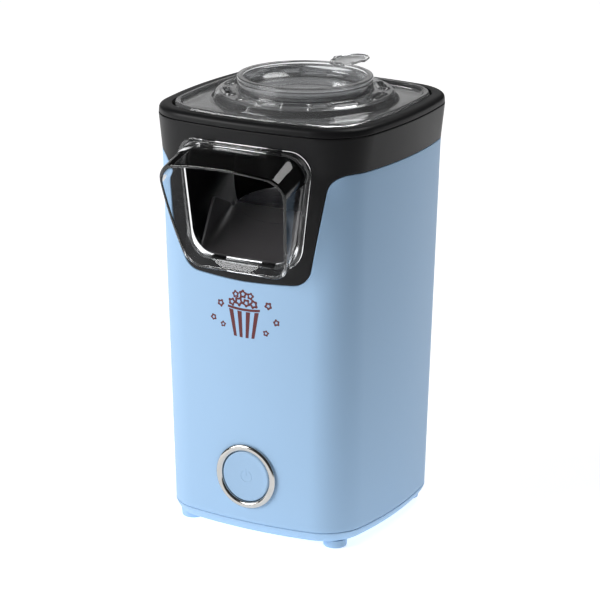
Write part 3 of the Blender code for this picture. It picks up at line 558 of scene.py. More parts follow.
def moulded(name, colour, roughness, change=0.08, grain=1800.0, depth=None, shade=0.04, specular=0.5,
            extra=()):
    """Moulded plastic with the grain group."""
    inputs = {"Colour": (*colour, 1.0), "Roughness": roughness, "Roughness change": change,
              "Grain per metre": grain, "Grain depth": sizes().grain_depth if depth is None else depth,
              "Shade change": shade}
    return grained(name, moulded_group(), inputs, {"Specular IOR Level": specular, **dict(extra)})


def metal(name, colour, roughness, stretch, change=0.15, depth=0.01 * MM):
    """Bare metal with the drawn-out marks of its making."""
    inputs = {"Stretch": stretch, "Roughness": roughness, "Roughness change": change, "Mark depth": depth}
    return grained(name, brushed_group(), inputs, {"Base Color": (*colour, 1.0), "Metallic": 1.0})


def clear(name, roughness, change, grain=160.0, depth=0.01 * MM, clarity=1.0):
    """Clear styrene: plain transmission, with the faint waviness of a moulding; clarity below 1 is haze."""
    return moulded(name, colours().clear, roughness, change, grain, depth, 0.02,
                   extra={"Transmission Weight": clarity, "IOR": 1.5})


def blue_plastic():
    return moulded("blue_plastic", colours().blue, 0.48, 0.06, grain=1500.0, shade=0.02, specular=0.3)


def button_plastic():
    return moulded("button_plastic", [0.92 * c for c in colours().blue], 0.38, 0.05, shade=0.02)


def black_plastic():
    return moulded("black_plastic", colours().black, 0.42, 0.10, grain=1100.0, shade=0.15, specular=0.22)


def grey_plastic():
    return moulded("grey_plastic", colours().grey, 0.62, 0.08, grain=2200.0, shade=0.1)


def tray_plastic():
    return moulded("tray_plastic", [1.6 * c for c in colours().grey], 0.40, 0.08, grain=1500.0, shade=0.1)


def print_ink():
    return moulded("print_ink", colours().print_red, 0.35, 0.08, grain=3500.0, depth=0.004 * MM, shade=0.2)


def clear_plastic():
    return clear("clear_plastic", 0.03, 0.03)


def hazy_plastic():
    return clear("hazy_plastic", 0.05, 0.04, clarity=0.93)


def frosted_plastic():
    return clear("frosted_plastic", 0.32, 0.12, grain=2500.0, depth=0.03 * MM)


def chrome():
    return metal("chrome", colours().chrome, 0.10, (300.0, 300.0, 300.0), 0.06, 0.001 * MM)


def aluminium():
    return metal("aluminium", (0.72, 0.72, 0.74), 0.22, (80.0, 80.0, 3000.0), 0.14)


def steel():
    return metal("steel", (0.50, 0.51, 0.53), 0.30, (900.0, 900.0, 900.0), 0.2)


def mica():
    return moulded("mica", (0.52, 0.45, 0.34), 0.45, 0.2, grain=500.0, depth=0.05 * MM, shade=0.5)


def silicone():
    return moulded("silicone", (0.55, 0.10, 0.07), 0.6, 0.1, grain=900.0, shade=0.1)


def nylon():
    return moulded("nylon", (0.70, 0.70, 0.66), 0.45, 0.1, grain=1400.0, shade=0.06)


def circuit_green():
    return moulded("circuit_green", (0.03, 0.16, 0.06), 0.35, 0.15, grain=700.0, shade=0.3)


def lead_cover():
    return moulded("lead_cover", (0.62, 0.62, 0.64), 0.5, 0.1, grain=1200.0, shade=0.1)


# ------------------------------------------------------------ housing shells

def bib_half(grow, counts=(18, 16, 20, 18)):
    """The bib's edge in (x, z) from its lowest point to the collar's line, grown outwards by grow.

    A rising curve, a corner arc, a straight side and a hollow fillet, each tangent to the next.
    """
    low_corner = arc(BIB_CORNER_AT, BIB_CORNER + grow, -86, -11, counts[1])
    fillet = arc((BIB_HALF, COLLAR_BOTTOM - BIB_FILLET), BIB_FILLET - grow, 169, 90, counts[3])
    x = np.linspace(0, low_corner[0, 0], counts[0], endpoint=False)
    floor = BIB_LOW - grow
    bottom = joined(x, floor + (low_corner[0, 1] - floor) * (x / low_corner[0, 0]) ** 1.5)
    along = np.linspace(0, 1, counts[2] + 2)[1:-1, None]
    side = low_corner[-1] + along * (fillet[0] - low_corner[-1])
    return np.concatenate([bottom, low_corner, side, fillet])


def seam_half(grow, rest=64):
    """The seam from the front's middle to the back's, in (girth, z): the bib's edge, then a level line."""
    bib = on_front(bib_half(grow))
    back = np.linspace(bib[-1, 0], HALF_GIRTH, rest + 1)[1:]
    return np.concatenate([bib, joined(back, bib[-1, 1])])


def seam_normal(line):
    """Unit normals of a half seam, pointing down out of the bib; its ends are mirrored to keep it smooth."""
    first = line[1] * (-1, 1)
    last = (2 * HALF_GIRTH - line[-2, 0], line[-2, 1])
    whole = np.concatenate([[first], line, [last]])
    along = whole[2:] - whole[:-2]
    along /= np.linalg.norm(along, axis=1, keepdims=True)
    return joined(along[:, 1], -along[:, 0])


def mirrored(girth, z, depth):
    """Half rows of (girth, z, depth) mirrored to the whole round, from just past the back's middle to it."""
    half = joined(girth, z, depth)
    return np.concatenate([half[:, -2:0:-1] * (-1, 1, 1), half], 1)


def seam_edge(line, away, lip):
    """Rows over a seam's rounded edge.

    They draw in by lip * (1 - sin a) as they sink by lip * (1 - cos a), then drop to the wall's depth.
    """
    a = quarter()[1:]
    over = lip * (1 - np.sin(a))
    girth, z = (np.concatenate([line[:, k] + over * away[:, k], line[None, :, k]]) for k in (0, 1))
    return mirrored(girth, z, np.concatenate([lip * (1 - np.cos(a)), [[WALL]]]))


def fan(line, share):
    """Girths for the far end of each column: part evenly spaced, part straight above or below the seam."""
    even = np.linspace(0, HALF_GIRTH, len(line))
    return share * even + (1 - share) * line[:, 0]


def quarter(count=5):
    """Angles of a quarter turn, as a column."""
    return np.linspace(0, PI / 2, count)[:, None]


def walled(outer, edge, shut):
    """Rows of (girth, z, depth) for a closed wall.

    outer rows go up the outside, edge rows go over to the inside, the outer rows come back at the wall's
    depth, and shut rows close it.
    """
    inner = outer[::-1].copy()
    inner[..., 2] = WALL
    return np.concatenate([outer, edge, inner, shut])


def shell_sheets(rows, outer_count, edge_count, block, hole, hole_at, lip, rings=8):
    """The sheets of a wall with one hole through a block of its cells.

    The ring of cells round the hole runs from the block's edge to the hole, over its rounded lip, through
    the wall and back to the block's edge on the inside.
    """
    r0, r1, c0, c1 = block
    back = outer_count + edge_count + outer_count - 1
    left_out = cells_out(rows.shape[:2], block, (back - r1, back - r0, c0, c1))
    main = sheet(shell_point(rows[..., 0], rows[..., 1], rows[..., 2]), True, True, left_out)

    edge = rows[block_loop(*block)][:, :2]
    rim, mouth = matched(edge, hole(lip), hole_at), matched(edge, hole(0.0), hole_at)
    out = between(edge, rim, rings)
    a = quarter()[1:]
    over = rim + (mouth - rim) * np.sin(a)[..., None]
    flat = np.concatenate([out, over, [mouth], out[::-1]])
    deep = np.concatenate([np.zeros(rings), lip * (1 - np.cos(a[:, 0])), [WALL], np.full(rings, WALL)])
    return [main, sheet(shell_point(flat[..., 0], flat[..., 1], deep[:, None]))]


def make_blue_housing():
    """The tapered blue housing, with the notch for the bib and the hole for the button."""
    lip, half_block, split = sizes().seam_round, 27.0 * MM, 100.0 * MM
    line = seam_half(SEAM)
    away = seam_normal(line)
    start = line + lip * away
    fanned = fan(line, 0.5)
    straight = np.linspace(SKIRT_BOTTOM + lip, split, 34)
    t = np.linspace(0, 1, 34)[1:, None]
    girth = np.concatenate([np.tile(fanned, (len(straight), 1)), fanned + (start[:, 0] - fanned) * t])
    height = np.concatenate([np.tile(straight[:, None], (1, len(fanned))), split + (start[:, 1] - split) * t])
    outer = mirrored(girth, height, 0.0)
    edge = seam_edge(line, away, lip)

    a = quarter()[:-1]
    foot_depth = np.concatenate([[[WALL]], lip * (1 - np.sin(a))])
    foot_height = SKIRT_BOTTOM + np.concatenate([[[0.0]], lip * (1 - np.cos(a))])
    rows = walled(outer, edge, joined(outer[:1, :, 0], foot_height, foot_depth))

    def hole(grow):
        return on_front(arc((0.0, BUTTON_Z), BUTTON_BORE + grow, 0, 360, 181)[:-1])

    middle, reach = len(line) - 2, int(np.searchsorted(fanned, half_block))
    r0, r1 = np.searchsorted(straight, [BUTTON_Z - half_block, BUTTON_Z + half_block])
    sheets = shell_sheets(rows, len(outer), len(edge), (r0, r1, middle - reach, middle + reach), hole,
                          (0.0, BUTTON_Z), 0.2 * MM)
    put("blue_housing", sheets, [blue_plastic()], "housing", ("lower_housing",))


def window_loop(grow=0.0):
    """The chute window's edge in (x, z)."""
    return hood_loop(45.5 * MM + grow, 37.0 * MM + grow, CHUTE_TOP + grow, 190.4 * MM - grow,
                     9.0 * MM, 13.0 * MM, steps=24)


def make_black_housing():
    """The black collar and its bib, one moulding, with the chute's window."""
    lip = sizes().seam_round
    line = seam_half(0.0)
    away = -seam_normal(line)
    start = line + lip * away
    fanned = fan(line, 0.12)
    top = COLLAR_TOP - lip
    t = np.linspace(0, 1, 30)[:, None]
    outer = mirrored(start[:, 0] + (fanned - start[:, 0]) * t, start[:, 1] + (top - start[:, 1]) * t, 0.0)

    a = quarter()[1:]
    edge_height = np.concatenate([top + lip * np.sin(a), [[COLLAR_TOP]]])
    edge_depth = np.concatenate([lip * (1 - np.cos(a)), [[WALL]]])
    edge = joined(outer[-1:, :, 0], edge_height, edge_depth)
    rows = walled(outer, edge, seam_edge(line, away, lip)[::-1])

    def hole(grow):
        return on_front(window_loop(grow))

    middle, reach = len(line) - 2, int(np.searchsorted(line[:, 1], COLLAR_BOTTOM - 8.0 * MM))
    block = (1, len(t) - 2, middle - reach, middle + reach)
    sheets = shell_sheets(rows, len(outer), len(edge), block, hole, WINDOW_AT, 0.7 * MM, rings=10)
    put("black_housing", sheets, [black_plastic()], "housing", ("upper_housing",))


# ------------------------------------------------------------ base

def make_base():
    """The slotted base plate, a little proud of the housing and round underneath, and the four feet."""
    turns = ring_turns(220)
    inner, floor_top = 5.0 * MM, 8.6 * MM
    proud, under, shoulder = 0.35 * MM, PLATE_BOTTOM, SKIRT_BOTTOM - 0.1 * MM
    edge = FOOT_HALF - inner
    profile = [(edge, under), (FOOT_HALF - 3.8 * MM, under), (FOOT_HALF - 1.5 * MM, 8.4 * MM),
               (FOOT_HALF + proud, shoulder), (FOOT_HALF - 4.6 * MM, shoulder), (edge, floor_top)]
    profile = rounded(profile, np.array([0.0, 1.8, 2.2, 1.1, 0.3, 0.0]) * MM, 7, closed=False)
    sheets = [sheet(carried(profile, turns, CORNER + proud, FOOT_HALF + proud, BULGE + proud))]

    slot_x, slot_half, slot_apart, slots = 20.0 * MM, 2.0 * MM, 9.0 * MM, 5
    block_x, block_past = 26.0 * MM, 5.0 * MM
    centres = AXIS_Y + slot_apart * (np.arange(slots) - slots // 2)
    x = np.concatenate([[-block_x], np.linspace(-slot_x, slot_x, 12), [block_x]])
    y = np.sort(np.concatenate([centres - slot_half, centres + slot_half,
                                [centres[0] - block_past, centres[-1] + block_past]]))
    gx, gy = np.meshgrid(x, y)
    cut = cells_out(gx.shape, *((row, row + 1, 1, len(x) - 2) for row in range(1, 2 * slots, 2)))
    loop = block_loop(0, len(y) - 1, 0, len(x) - 1)
    outline = joined(*plan_point(turns, edge, BULGE - inner, CORNER - inner))
    flat = between(matched(outline, joined(gx[loop], gy[loop]), (0.0, AXIS_Y)), outline, 6)
    for z in (under, floor_top):
        sheets += [sheet(joined(gx, gy, z), False, False, cut), sheet(raised(flat, z))]
    corners = np.array([(-1, -1), (1, -1), (1, 1), (-1, 1)]) * (slot_x, slot_half)
    for centre in centres:
        wall = np.stack([corners + (0.0, centre)] * 2)
        sheets.append(sheet(raised(wall, np.array([under, floor_top])[:, None, None])))
    put("base_tray", sheets, [blue_plastic()], "housing", ("base_plate",))

    top, bore = under - 0.1 * MM, 4.2 * MM
    profile = rounded([(FOOT_RADIUS - 0.4 * MM, 0.0), (FOOT_RADIUS, top), (bore, top), (bore, 0.0)],
                      np.array([1.0, 0.3, 0.3, 0.4]) * MM)
    for row, end in (("front", -1), ("rear", 1)):
        for side, across in (("left", -1), ("right", 1)):
            foot = turned(profile, circle(48), end * FOOT_Y) + (across * FOOT_X, 0.0, 0.0)
            put(f"stand_{row}_{side}", [sheet(foot, True)], [blue_plastic()], "housing",
                (f"foot_{row}_{side}",))


# ------------------------------------------------------------ rim, deck and chute

def make_rim():
    """The rim round the lid: a shadow groove, a rounded shoulder and a ledge; and the deck under it."""
    half, groove, back = TOP_HALF - 0.1 * MM, 0.5 * MM, 2.6 * MM
    ledge, rim_low = 277.6 * MM, 273.4 * MM
    inner, step = RIM_HALF - 7.0 * MM, RIM_HALF - 11.0 * MM
    corners = [(half - back, COLLAR_TOP + SEAM), (half - groove, COLLAR_TOP + SEAM),
               (half, COLLAR_TOP + 2 * SEAM + 0.2 * MM), (half - 0.3 * MM, RIM_TOP - 1.6 * MM),
               (half - back, RIM_TOP), (inner, RIM_TOP), (inner, ledge), (step, ledge), (step, rim_low),
               (half - back, rim_low)]
    shoulder = 1.8 * sizes().rim_round / MM
    radii = np.array([0.1, 0.2, 0.3, shoulder, shoulder, 0.6, 0.3, 0.3, 0.3, 0.2]) * MM
    rim = carried(rounded(corners, radii, 7), ring_turns(240), TOP_CORNER, half)
    put("rim", [sheet(rim, True)], [black_plastic()], "housing", ("top_rim",))

    outline = joined(*plan_point(ring_turns(240), high("top_deck").x, TOP_BULGE, 33.0 * MM))
    hole = joined(WELL_RADIUS * np.cos(circle(240)), AXIS_Y + WELL_RADIUS * np.sin(circle(240)))
    flat = between(outline, matched(outline, hole, (0.0, AXIS_Y)), 6)
    z = np.repeat([high("top_deck").z, low("top_deck").z], len(flat))[:, None, None]
    put("deck", [sheet(raised(np.concatenate([flat, flat[::-1]]), z), True)], [black_plastic()], "housing",
        ("top_deck",))


def ramp_z(y):
    """The ramp's height, which rises evenly towards the back."""
    return RAMP_FRONT_Z + RAMP_SLOPE * (y - RAMP_FRONT_Y)


def channel_loop(grow=0.0):
    """The chute's section at its front, in (x, z): a trough with round corners, made larger by grow."""
    half = np.array([(30.0 * MM, RAMP_FRONT_Z), (44.0 * MM, RAMP_FRONT_Z + 20.0 * MM),
                     (45.6 * MM, 250.0 * MM), (38.0 * MM, CHUTE_TOP)])
    half += grow * np.array([(0.7, -1.0), (1.0, -0.5), (1.0, 0.0), (0.7, 1.0)])
    radii = np.array([7.0, 9.0, 6.0, 8.0]) * MM
    return rounded(np.concatenate([half, half[::-1] * (-1, 1)]), np.concatenate([radii, radii[::-1]]), 9)


def channel_point(loop, y):
    """A section's points at depth y, which rise with the ramp: in full at its level, not at all at the roof."""
    x, z = loop[..., 0], loop[..., 1]
    share = np.clip((CHUTE_TOP - z) / (CHUTE_TOP - RAMP_FRONT_Z), 0, 1)
    rise = RAMP_SLOPE * (y - RAMP_FRONT_Y)
    return joined(x, y, z + rise * share)


def well_y(x, radius):
    """The front of a circle about the well's axis, at x."""
    return AXIS_Y - np.sqrt(np.maximum(radius ** 2 - x ** 2, 0))


def filled(loop, count=6):
    """Each stretch of a closed outline cut into count parts."""
    t = np.linspace(0, 1, count, endpoint=False)[None, :, None]
    return (loop[:, None] + (np.roll(loop, -1, 0) - loop)[:, None] * t).reshape(-1, 2)


def make_tray():
    """The dark grey scoop on the ramp.

    Its section is a flat floor with a round corner and a wall on each side. The walls rise steeply from the
    front, then fall away to the well's edge. Sections are spread from the front edge to the well's circle.
    """
    front, floor, wall, thick, lift = -73.2 * MM, 30.0 * MM, 32.4 * MM, 1.7 * MM, 1.2 * MM
    steep, fall, fall_end, soft, least = 1.37, 1.05, -36.0 * MM, 3.0 * MM, 0.6 * MM
    half = np.array([floor, wall, wall + thick, floor + thick])
    x = np.concatenate([-half[1::-1], half, -half[:1:-1]])[:, None]
    at_top = np.array([1, 0, 0, 1, 1, 0, 0, 1])[:, None]
    beneath = np.array([0, 0, 0, 0, 0, 1, 1, 0])[:, None]
    y = front + np.linspace(0, 1, 40) * (well_y(x, WELL_RADIUS + 0.8 * MM) - front)
    rising = steep * (y - front) + 1.6 * MM
    falling = fall * (fall_end - y) + least
    lower = (rising + falling - np.sqrt((rising - falling) ** 2 + soft ** 2)) / 2
    z = ramp_z(y) + lift + at_top * np.maximum(lower, least) - beneath * thick
    loop = rounded(joined(x, y, z), np.array([0.7, 7.0, 7.0, 0.7, 0.7, 8.0, 8.0, 0.7]) * MM, 7)
    half = len(loop) // 2
    ends = [sheet(np.stack([loop[:half, k], loop[half:, k][::-1]]), False, False) for k in (0, -1)]
    put("chute_tray", [sheet(loop, True, False), *ends], [tray_plastic()], "housing")


def on_well(angle, z, radius):
    """A point on a cylinder about the well's axis; angle is taken from the front."""
    return joined(radius * np.sin(angle), AXIS_Y - radius * np.cos(angle), z)


def make_chute():
    """The chute's channel with its rolled front lip, and the well that it leaves."""
    lip, thick, columns = 1.0 * MM, 2.0 * MM, 144
    front, well_outer = RAMP_FRONT_Y + 0.5 * MM, WELL_RADIUS + thick
    inside, outside = filled(channel_loop(), 4), filled(channel_loop(thick), 4)

    def run(loop, radius, t):
        return channel_point(loop, front + lip + (well_y(loop[:, 0], radius) - front - lip) * t)

    t = np.linspace(0, 1, 16)[:, None]
    a = np.linspace(0, PI, 9)[1:-1, None]
    roll = (inside + outside) / 2 + (outside - inside) / 2 * np.cos(a)[..., None]
    channel = np.concatenate([run(outside, well_outer, t[::-1]),
                              channel_point(roll, front + lip - lip * np.sin(a)),
                              run(inside, WELL_RADIUS - 0.3 * MM, t)])

    well_ends = (203.6 * MM, high("chute_duct").z)
    heights, angles = np.linspace(*well_ends, 24), np.linspace(-PI, PI, columns, endpoint=False)
    mouth = channel_point(inside, well_y(inside[:, 0], WELL_RADIUS))
    mouth = joined(np.arcsin(np.clip(mouth[:, 0] / WELL_RADIUS, -1, 1)), mouth[:, 2])
    reach = int(np.ceil(np.abs(mouth[:, 0]).max() / (2 * PI / columns))) + 2
    block = (1, len(heights) - 2, columns // 2 - reach, columns // 2 + reach)
    gz, ga = np.meshgrid(heights, angles, indexing="ij")
    left_out = cells_out(gz.shape, block)
    loop = block_loop(*block)
    edge = joined(ga[loop], gz[loop])
    scale = np.array([WELL_RADIUS, 1.0])
    ring = between(edge, matched(edge * scale, mouth * scale, (0.0, 240.0 * MM)) / scale, 5)
    wall = np.concatenate([ring, ring[::-1]])
    radii = np.array([WELL_RADIUS, well_outer])
    sheets = [sheet(channel, True),
              *(sheet(on_well(ga, gz, radius), left_out=left_out) for radius in radii),
              sheet(on_well(wall[..., 0], wall[..., 1], np.repeat(radii, len(ring))[:, None])),
              *(sheet(on_well(angles, z, radii[:, None])) for z in well_ends)]
    put("chute", sheets, [black_plastic()], "housing", ("chute_duct",))
    make_tray()

    start, throat_wall, inwards = window_loop(0.6 * MM), 1.5 * MM, np.array([0.0, 1.0, 0.0])
    lip_edge = matched(start, channel_loop(thick + 0.4 * MM), WINDOW_AT)
    near = front_point(start[:, 0], start[:, 1], -WALL - SEAM)
    far = joined(lip_edge[:, 0], front + 1.2 * MM, lip_edge[:, 1])
    throat = np.concatenate([between(near, far, 4), [far + throat_wall * inwards,
                                                     near + (throat_wall + 0.6 * MM) * inwards]])
    put("chute_throat", [sheet(throat, True)], [black_plastic()], "housing")


# ------------------------------------------------------------ clear pieces

def shield_back(inset, off, sides):
    """A ring of the hood's flange: a rounded trapezoid laid on the front, moved forward by off."""
    loop = hood_loop(49.5 * MM - inset, 40.4 * MM - inset, 266.4 * MM - inset, 188.6 * MM + inset,
                     13.0 * MM, 17.0 * MM, 1.2 * MM, sides)
    return front_point(loop[:, 0], loop[:, 1], off)


def shield_free(inset, back, sides):
    """The hood's free edge, which leans forward with height and bulges in the middle."""
    top, bottom, half = 253.7 * MM, 184.1 * MM, 46.5 * MM
    loop = hood_loop(half - inset, 36.2 * MM - inset, top - inset, bottom + inset, 9.5 * MM, 12.5 * MM,
                     4.8 * MM, sides)
    x, z = loop[:, 0], loop[:, 1]
    share = np.clip((z - bottom) / (top - bottom), 0, 1)
    x = x * (1 + 0.09 * share * (1 - share))
    reach = 0.65 * share + 0.35 * (1 - (1 - share) ** 2)
    y = -(82.9 + 21.4 * reach) * MM - 4.6 * MM * (1 - (x / half) ** 2) * share ** 0.5 + back
    return joined(x, y, z)


def make_shield():
    """The clear hood: a stepped flange on the bib, then a wall that narrows to a rounded free edge."""
    gap, flange, root, sides = 0.4 * MM, 2.2 * MM, 2.7 * MM, 22
    outer, inner, wall = 1.9 * MM, 4.1 * MM, 2.0 * MM
    control = np.stack([shield_back(0.0, gap, sides), shield_back(0.0, flange, sides),
                        shield_back(outer, root, sides), shield_free(0.0, 0.0, sides),
                        shield_free(wall, 0.0, sides), shield_back(inner, root, sides),
                        shield_back(inner, gap, sides)])
    rings = rounded(control, np.array([0.4, 0.7, 0.6, 0.95, 0.95, 0.6, 0.3]) * MM, 6)
    put("chute_hood", [sheet(rings, True)], [clear_plastic()], "shield", ("chute_shield",))

    half, tall = 5.0, 0.9
    flat = rounded(np.array([(-half, -tall), (half, -tall), (half, tall), (-half, tall)]) * MM, 0.7 * MM, 5)
    levels = np.array([(0.0, -1.0), (1.0, -1.0), (1.0, 2.6), (0.9, 2.9), (0.0, 2.9)])
    for number, spot in enumerate([(-24.0, 264.6), (24.0, 264.6), (-17.0, 190.6), (19.0, 190.6)], 1):
        place = np.array(spot) * MM + flat * levels[:, :1, None]
        rows = front_point(place[..., 0], place[..., 1], levels[:, 1:] * MM)
        put(f"hood_catch_{number}", [sheet(rows)], [black_plastic()], "housing")


def slot_ring(bearing, start, grow, z):
    """A vent slot's outline on the dome, grown by grow, with a point for each of start's."""
    vent_radius, half_long, half_wide = 50.6 * MM, 9.6 * MM, 2.1 * MM
    outward = np.array([np.cos(bearing), np.sin(bearing)])
    along = np.array([-np.sin(bearing), np.cos(bearing)])
    centre = vent_radius * outward + (0.0, AXIS_Y)
    radius, straight = half_wide + grow, half_long - half_wide
    flat = np.concatenate([arc((straight, 0.0), radius, -90, 90, 16),
                           arc((-straight, 0.0), radius, 90, 270, 16)])
    outline = centre + flat[:, :1] * along + flat[:, 1:] * outward
    return raised(matched(start[:, :2], outline, centre), z)


def make_lid():
    """The clear lid.

    One closed sheet of rings: a square border with a thick skirt, a recessed plate, a round dome with ten
    vent slots and the collar that takes the cup. Square rings are found by bearing from the dome's axis.
    """
    per_slot, slots, margin, vent_rows, steps = 36, 10, 4, 10, 6
    angles = np.radians(4.0 - 180.0 / slots) + 2 * PI * np.arange(per_slot * slots) / (per_slot * slots)
    dense, corner = ring_turns(1440), 32.0 * MM
    far = joined(np.cos(angles), AXIS_Y + np.sin(angles))

    def square(inset, z, tighter):
        outline = joined(*plan_point(dense, LID_HALF - inset, TOP_BULGE - inset, corner - tighter))
        return raised(matched(far, outline, (0.0, AXIS_Y)), z)

    skirt_low, lid_top, plate, thick, recess = low("lid").z, 283.4 * MM, 281.0 * MM, 1.8 * MM, 5.5 * MM
    dome_top, collar_top, ease = 287.0 * MM, 293.8 * MM, 0.4 * MM
    collar_outer, collar_inner, dome_low = 44.1 * MM, 42.3 * MM, 287.0 * MM - 1.8 * MM
    border = [square(0.6 * MM, skirt_low, 0.0), square(0.0, plate, 0.0), square(0.8 * MM, lid_top, 0.8 * MM),
              square(3.6 * MM, lid_top, 3.6 * MM), square(recess, plate, recess)]
    middle_rings = turned([(60.5 * MM, plate + ease), (57.2 * MM, dome_top),
                           (collar_outer, dome_top + 0.3 * MM), (collar_outer, collar_top),
                           (collar_inner, collar_top), (collar_inner, dome_low), (55.8 * MM, dome_low),
                           (59.0 * MM, plate - thick + ease)], angles)
    under_border = [square(recess + 0.6 * MM, plate - thick, recess + 0.6 * MM),
                    square(3.2 * MM, skirt_low, 3.2 * MM)]
    radii = [0.6, 0.8, 1.1, 1.1, 1.0, 1.6, 1.6, 1.2, 0.7, 0.7, 0.8, 1.0, 1.2, 0.8, 0.7]
    rings = rounded(np.stack([*border, *middle_rings, *under_border]), np.array(radii) * MM, steps)

    vent_from = (len(border) + 2) * steps - 1
    under_from = vent_from + 4 * steps
    upper, lower = (between(rings[k], rings[k + 1], vent_rows)[1:-1] for k in (vent_from, under_from))
    rows = np.concatenate([rings[:vent_from + 1], upper, rings[vent_from + 1:under_from + 1], lower,
                           rings[under_from + 1:]])
    r0, u0, cut = vent_from + 1, under_from + len(upper) + 1, vent_rows - 3
    lip = [(2.2, 0.0), (1.7, 0.25), (1.3, 0.8), (0.9, 1.0), (0.5, 1.0), (0.15, 0.75), (0.0, 0.3)]
    lip_low, lift = dome_top + 0.15 * MM, sizes().slot_lip
    blocks, vents = [], []
    for slot in range(slots):
        c0, c1 = slot * per_slot + margin, (slot + 1) * per_slot - margin
        blocks += [(r0, r0 + cut, c0, c1), (u0, u0 + cut, c0, c1)]
        bearing = angles[slot * per_slot] + PI / slots
        edge, under_edge = (rows[block_loop(k, k + cut, c0, c1)] for k in (r0, u0))
        wall = [slot_ring(bearing, edge, grow * MM, lip_low + share * lift) for grow, share in lip]
        mouth = slot_ring(bearing, edge, 0.0, dome_low)
        under_mouth = nearest(slot_ring(bearing, under_edge, 0.0, dome_low), mouth)
        vents += [sheet(np.stack([edge, *wall, mouth])), sheet(np.stack([under_edge, under_mouth]))]
    body = sheet(rows, True, True, cells_out(rows.shape[:2], *blocks))
    put("clear_lid", [body, *vents], [hazy_plastic()], "lid", ("lid",), weld=0.01 * MM)


def nearest(points, targets):
    """The nearest of targets for each of points."""
    apart = np.linalg.norm(points[:, None] - targets[None], axis=-1)
    return targets[np.argmin(apart, 1)]


def make_cup():
    """The clear measuring cup with its flange, and the paddle handle that leans out behind."""
    flange, wall, outer, ring = 294.1 * MM, 1.6 * MM, 41.8 * MM, 44.1 * MM
    floor_low, floor_high = 285.5 * MM, 287.1 * MM
    corners = [(0.0, floor_low), (36.5 * MM, floor_low), (outer, 289.5 * MM), (outer, flange), (ring, flange),
               (ring, CUP_TOP), (outer - wall, CUP_TOP), (outer - wall, 290.2 * MM), (35.6 * MM, floor_high),
               (0.0, floor_high)]
    radii = [0.0, 1.5, 1.5, 0.4, 0.7, 0.9, 0.9, 1.5, 1.5, 0.0]
    cup = turned(rounded(corners, np.array(radii) * MM, 6), circle(180))

    t = circle(96)
    half_long, half_wide, high_z, low_z = 18.6 * MM, 12.0 * MM, 296.3 * MM, 294.6 * MM
    middle = (0.0, high("measuring_cup").y - HOUSING_Y - half_long)
    narrow = 1 - 0.16 * np.cos(t) ** 2 * (np.sin(t) < 0)
    unit = joined(half_wide * np.cos(t) * narrow, half_long * np.sin(t))
    levels = [(0.0, high_z - 0.9 * MM), (0.70, high_z - 0.9 * MM), (0.80, high_z - 0.5 * MM), (0.86, high_z),
              (0.95, high_z), (1.0, (high_z + low_z) / 2), (0.95, low_z), (0.0, low_z)]
    rows = np.stack([raised(unit * share + middle, z) for share, z in levels])
    put("cup", [sheet(cup, True), sheet(rows[:3], finish=1), sheet(rows[2:])],
        [hazy_plastic(), frosted_plastic()], "cup", ("measuring_cup",))


# ------------------------------------------------------------ button and print

def make_button():
    """The power button with its raised symbol, inside the chrome ring, and the spring behind it."""
    crown = np.linspace(0, PI, 15)[:, None]
    reach, middle = (BEZEL_OUTER - BEZEL_INNER) / 2, (BEZEL_OUTER + BEZEL_INNER) / 2
    dome = np.concatenate([middle - reach * np.cos(crown), -0.4 * MM - 1.7 * MM * np.sin(crown)], 1)
    seat, deep = 20.2 * MM, 7.5 * MM
    rings = turned([*dome, (seat, -0.3 * MM), (seat, deep), (BEZEL_INNER, deep)], circle(180), 0.0)
    put("chrome_ring", [sheet(button_frame(rings), True)], [chrome()], "housing", ("button_bezel",))

    r, back, web, hollow, stem = BUTTON_RADIUS, 6.0 * MM, 1.2 * MM, 15.4 * MM, 3.0 * MM
    corners = [(0.0, -0.55 * MM), (13.5 * MM, -0.75 * MM), (r - 0.9 * MM, -1.0 * MM), (r, -0.3 * MM),
               (r, back), (hollow, back), (hollow, web), (stem, web), (stem, 9.0 * MM), (0.0, 9.0 * MM)]
    radii = np.array([0.0, 1.5, 0.6, 0.5, 0.3, 0.3, 0.3, 0.3, 0.3, 0.0]) * MM
    cap = button_frame(turned(rounded(corners, radii, 6), circle(180), 0.0))
    put("button_cap", [sheet(cap, True)], [button_plastic()], "button", ("power_button",))
    make_spring()

    ring_radius, line, proud, face = 4.0 * MM, 0.45 * MM, 0.22 * MM, -0.56 * MM
    gap = np.radians(32.0)
    t = np.linspace(-PI / 2 + gap, 1.5 * PI - gap, 60)
    ring = ring_radius * joined(np.cos(t), np.sin(t))
    bar = joined(0.0, np.linspace(-5.2, -0.6, 10) * MM)
    ring, bar = (tube_sheets(button_frame(ribbon(path, line, face, proud))) for path in (ring, bar))
    put("power_symbol", ring + bar, [button_plastic()], "button")


def make_spring():
    """A helix of round wire about the button's axis."""
    coil, wire, start, end, turns, travel = 7.0 * MM, 0.6 * MM, 1.9 * MM, 17.6 * MM, 4, 2.5 * MM
    t = np.linspace(0, 2 * PI * turns, 160)[:, None]
    a = circle(10)
    out = coil + wire * np.cos(a)
    height = start + (end - start) * t / t[-1]
    tube = button_frame(joined(out * np.cos(t), out * np.sin(t), height + wire * np.sin(a)))
    spring = put("press_spring", tube_sheets(tube), [steel()], "housing", ("button_spring",))
    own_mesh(spring)


def ribbon(path, half, base, proud, sides=10):
    """A raised line: a half-round section carried along a flat path, in the button's own axes."""
    along = np.gradient(path, axis=0)
    along /= np.linalg.norm(along, axis=1, keepdims=True)
    across = joined(-along[:, 1], along[:, 0])
    a = circle(sides)
    flat = path[:, None] + across[:, None] * (half * np.cos(a))[:, None]
    return raised(flat, (base - proud * np.sin(a))[:, None])


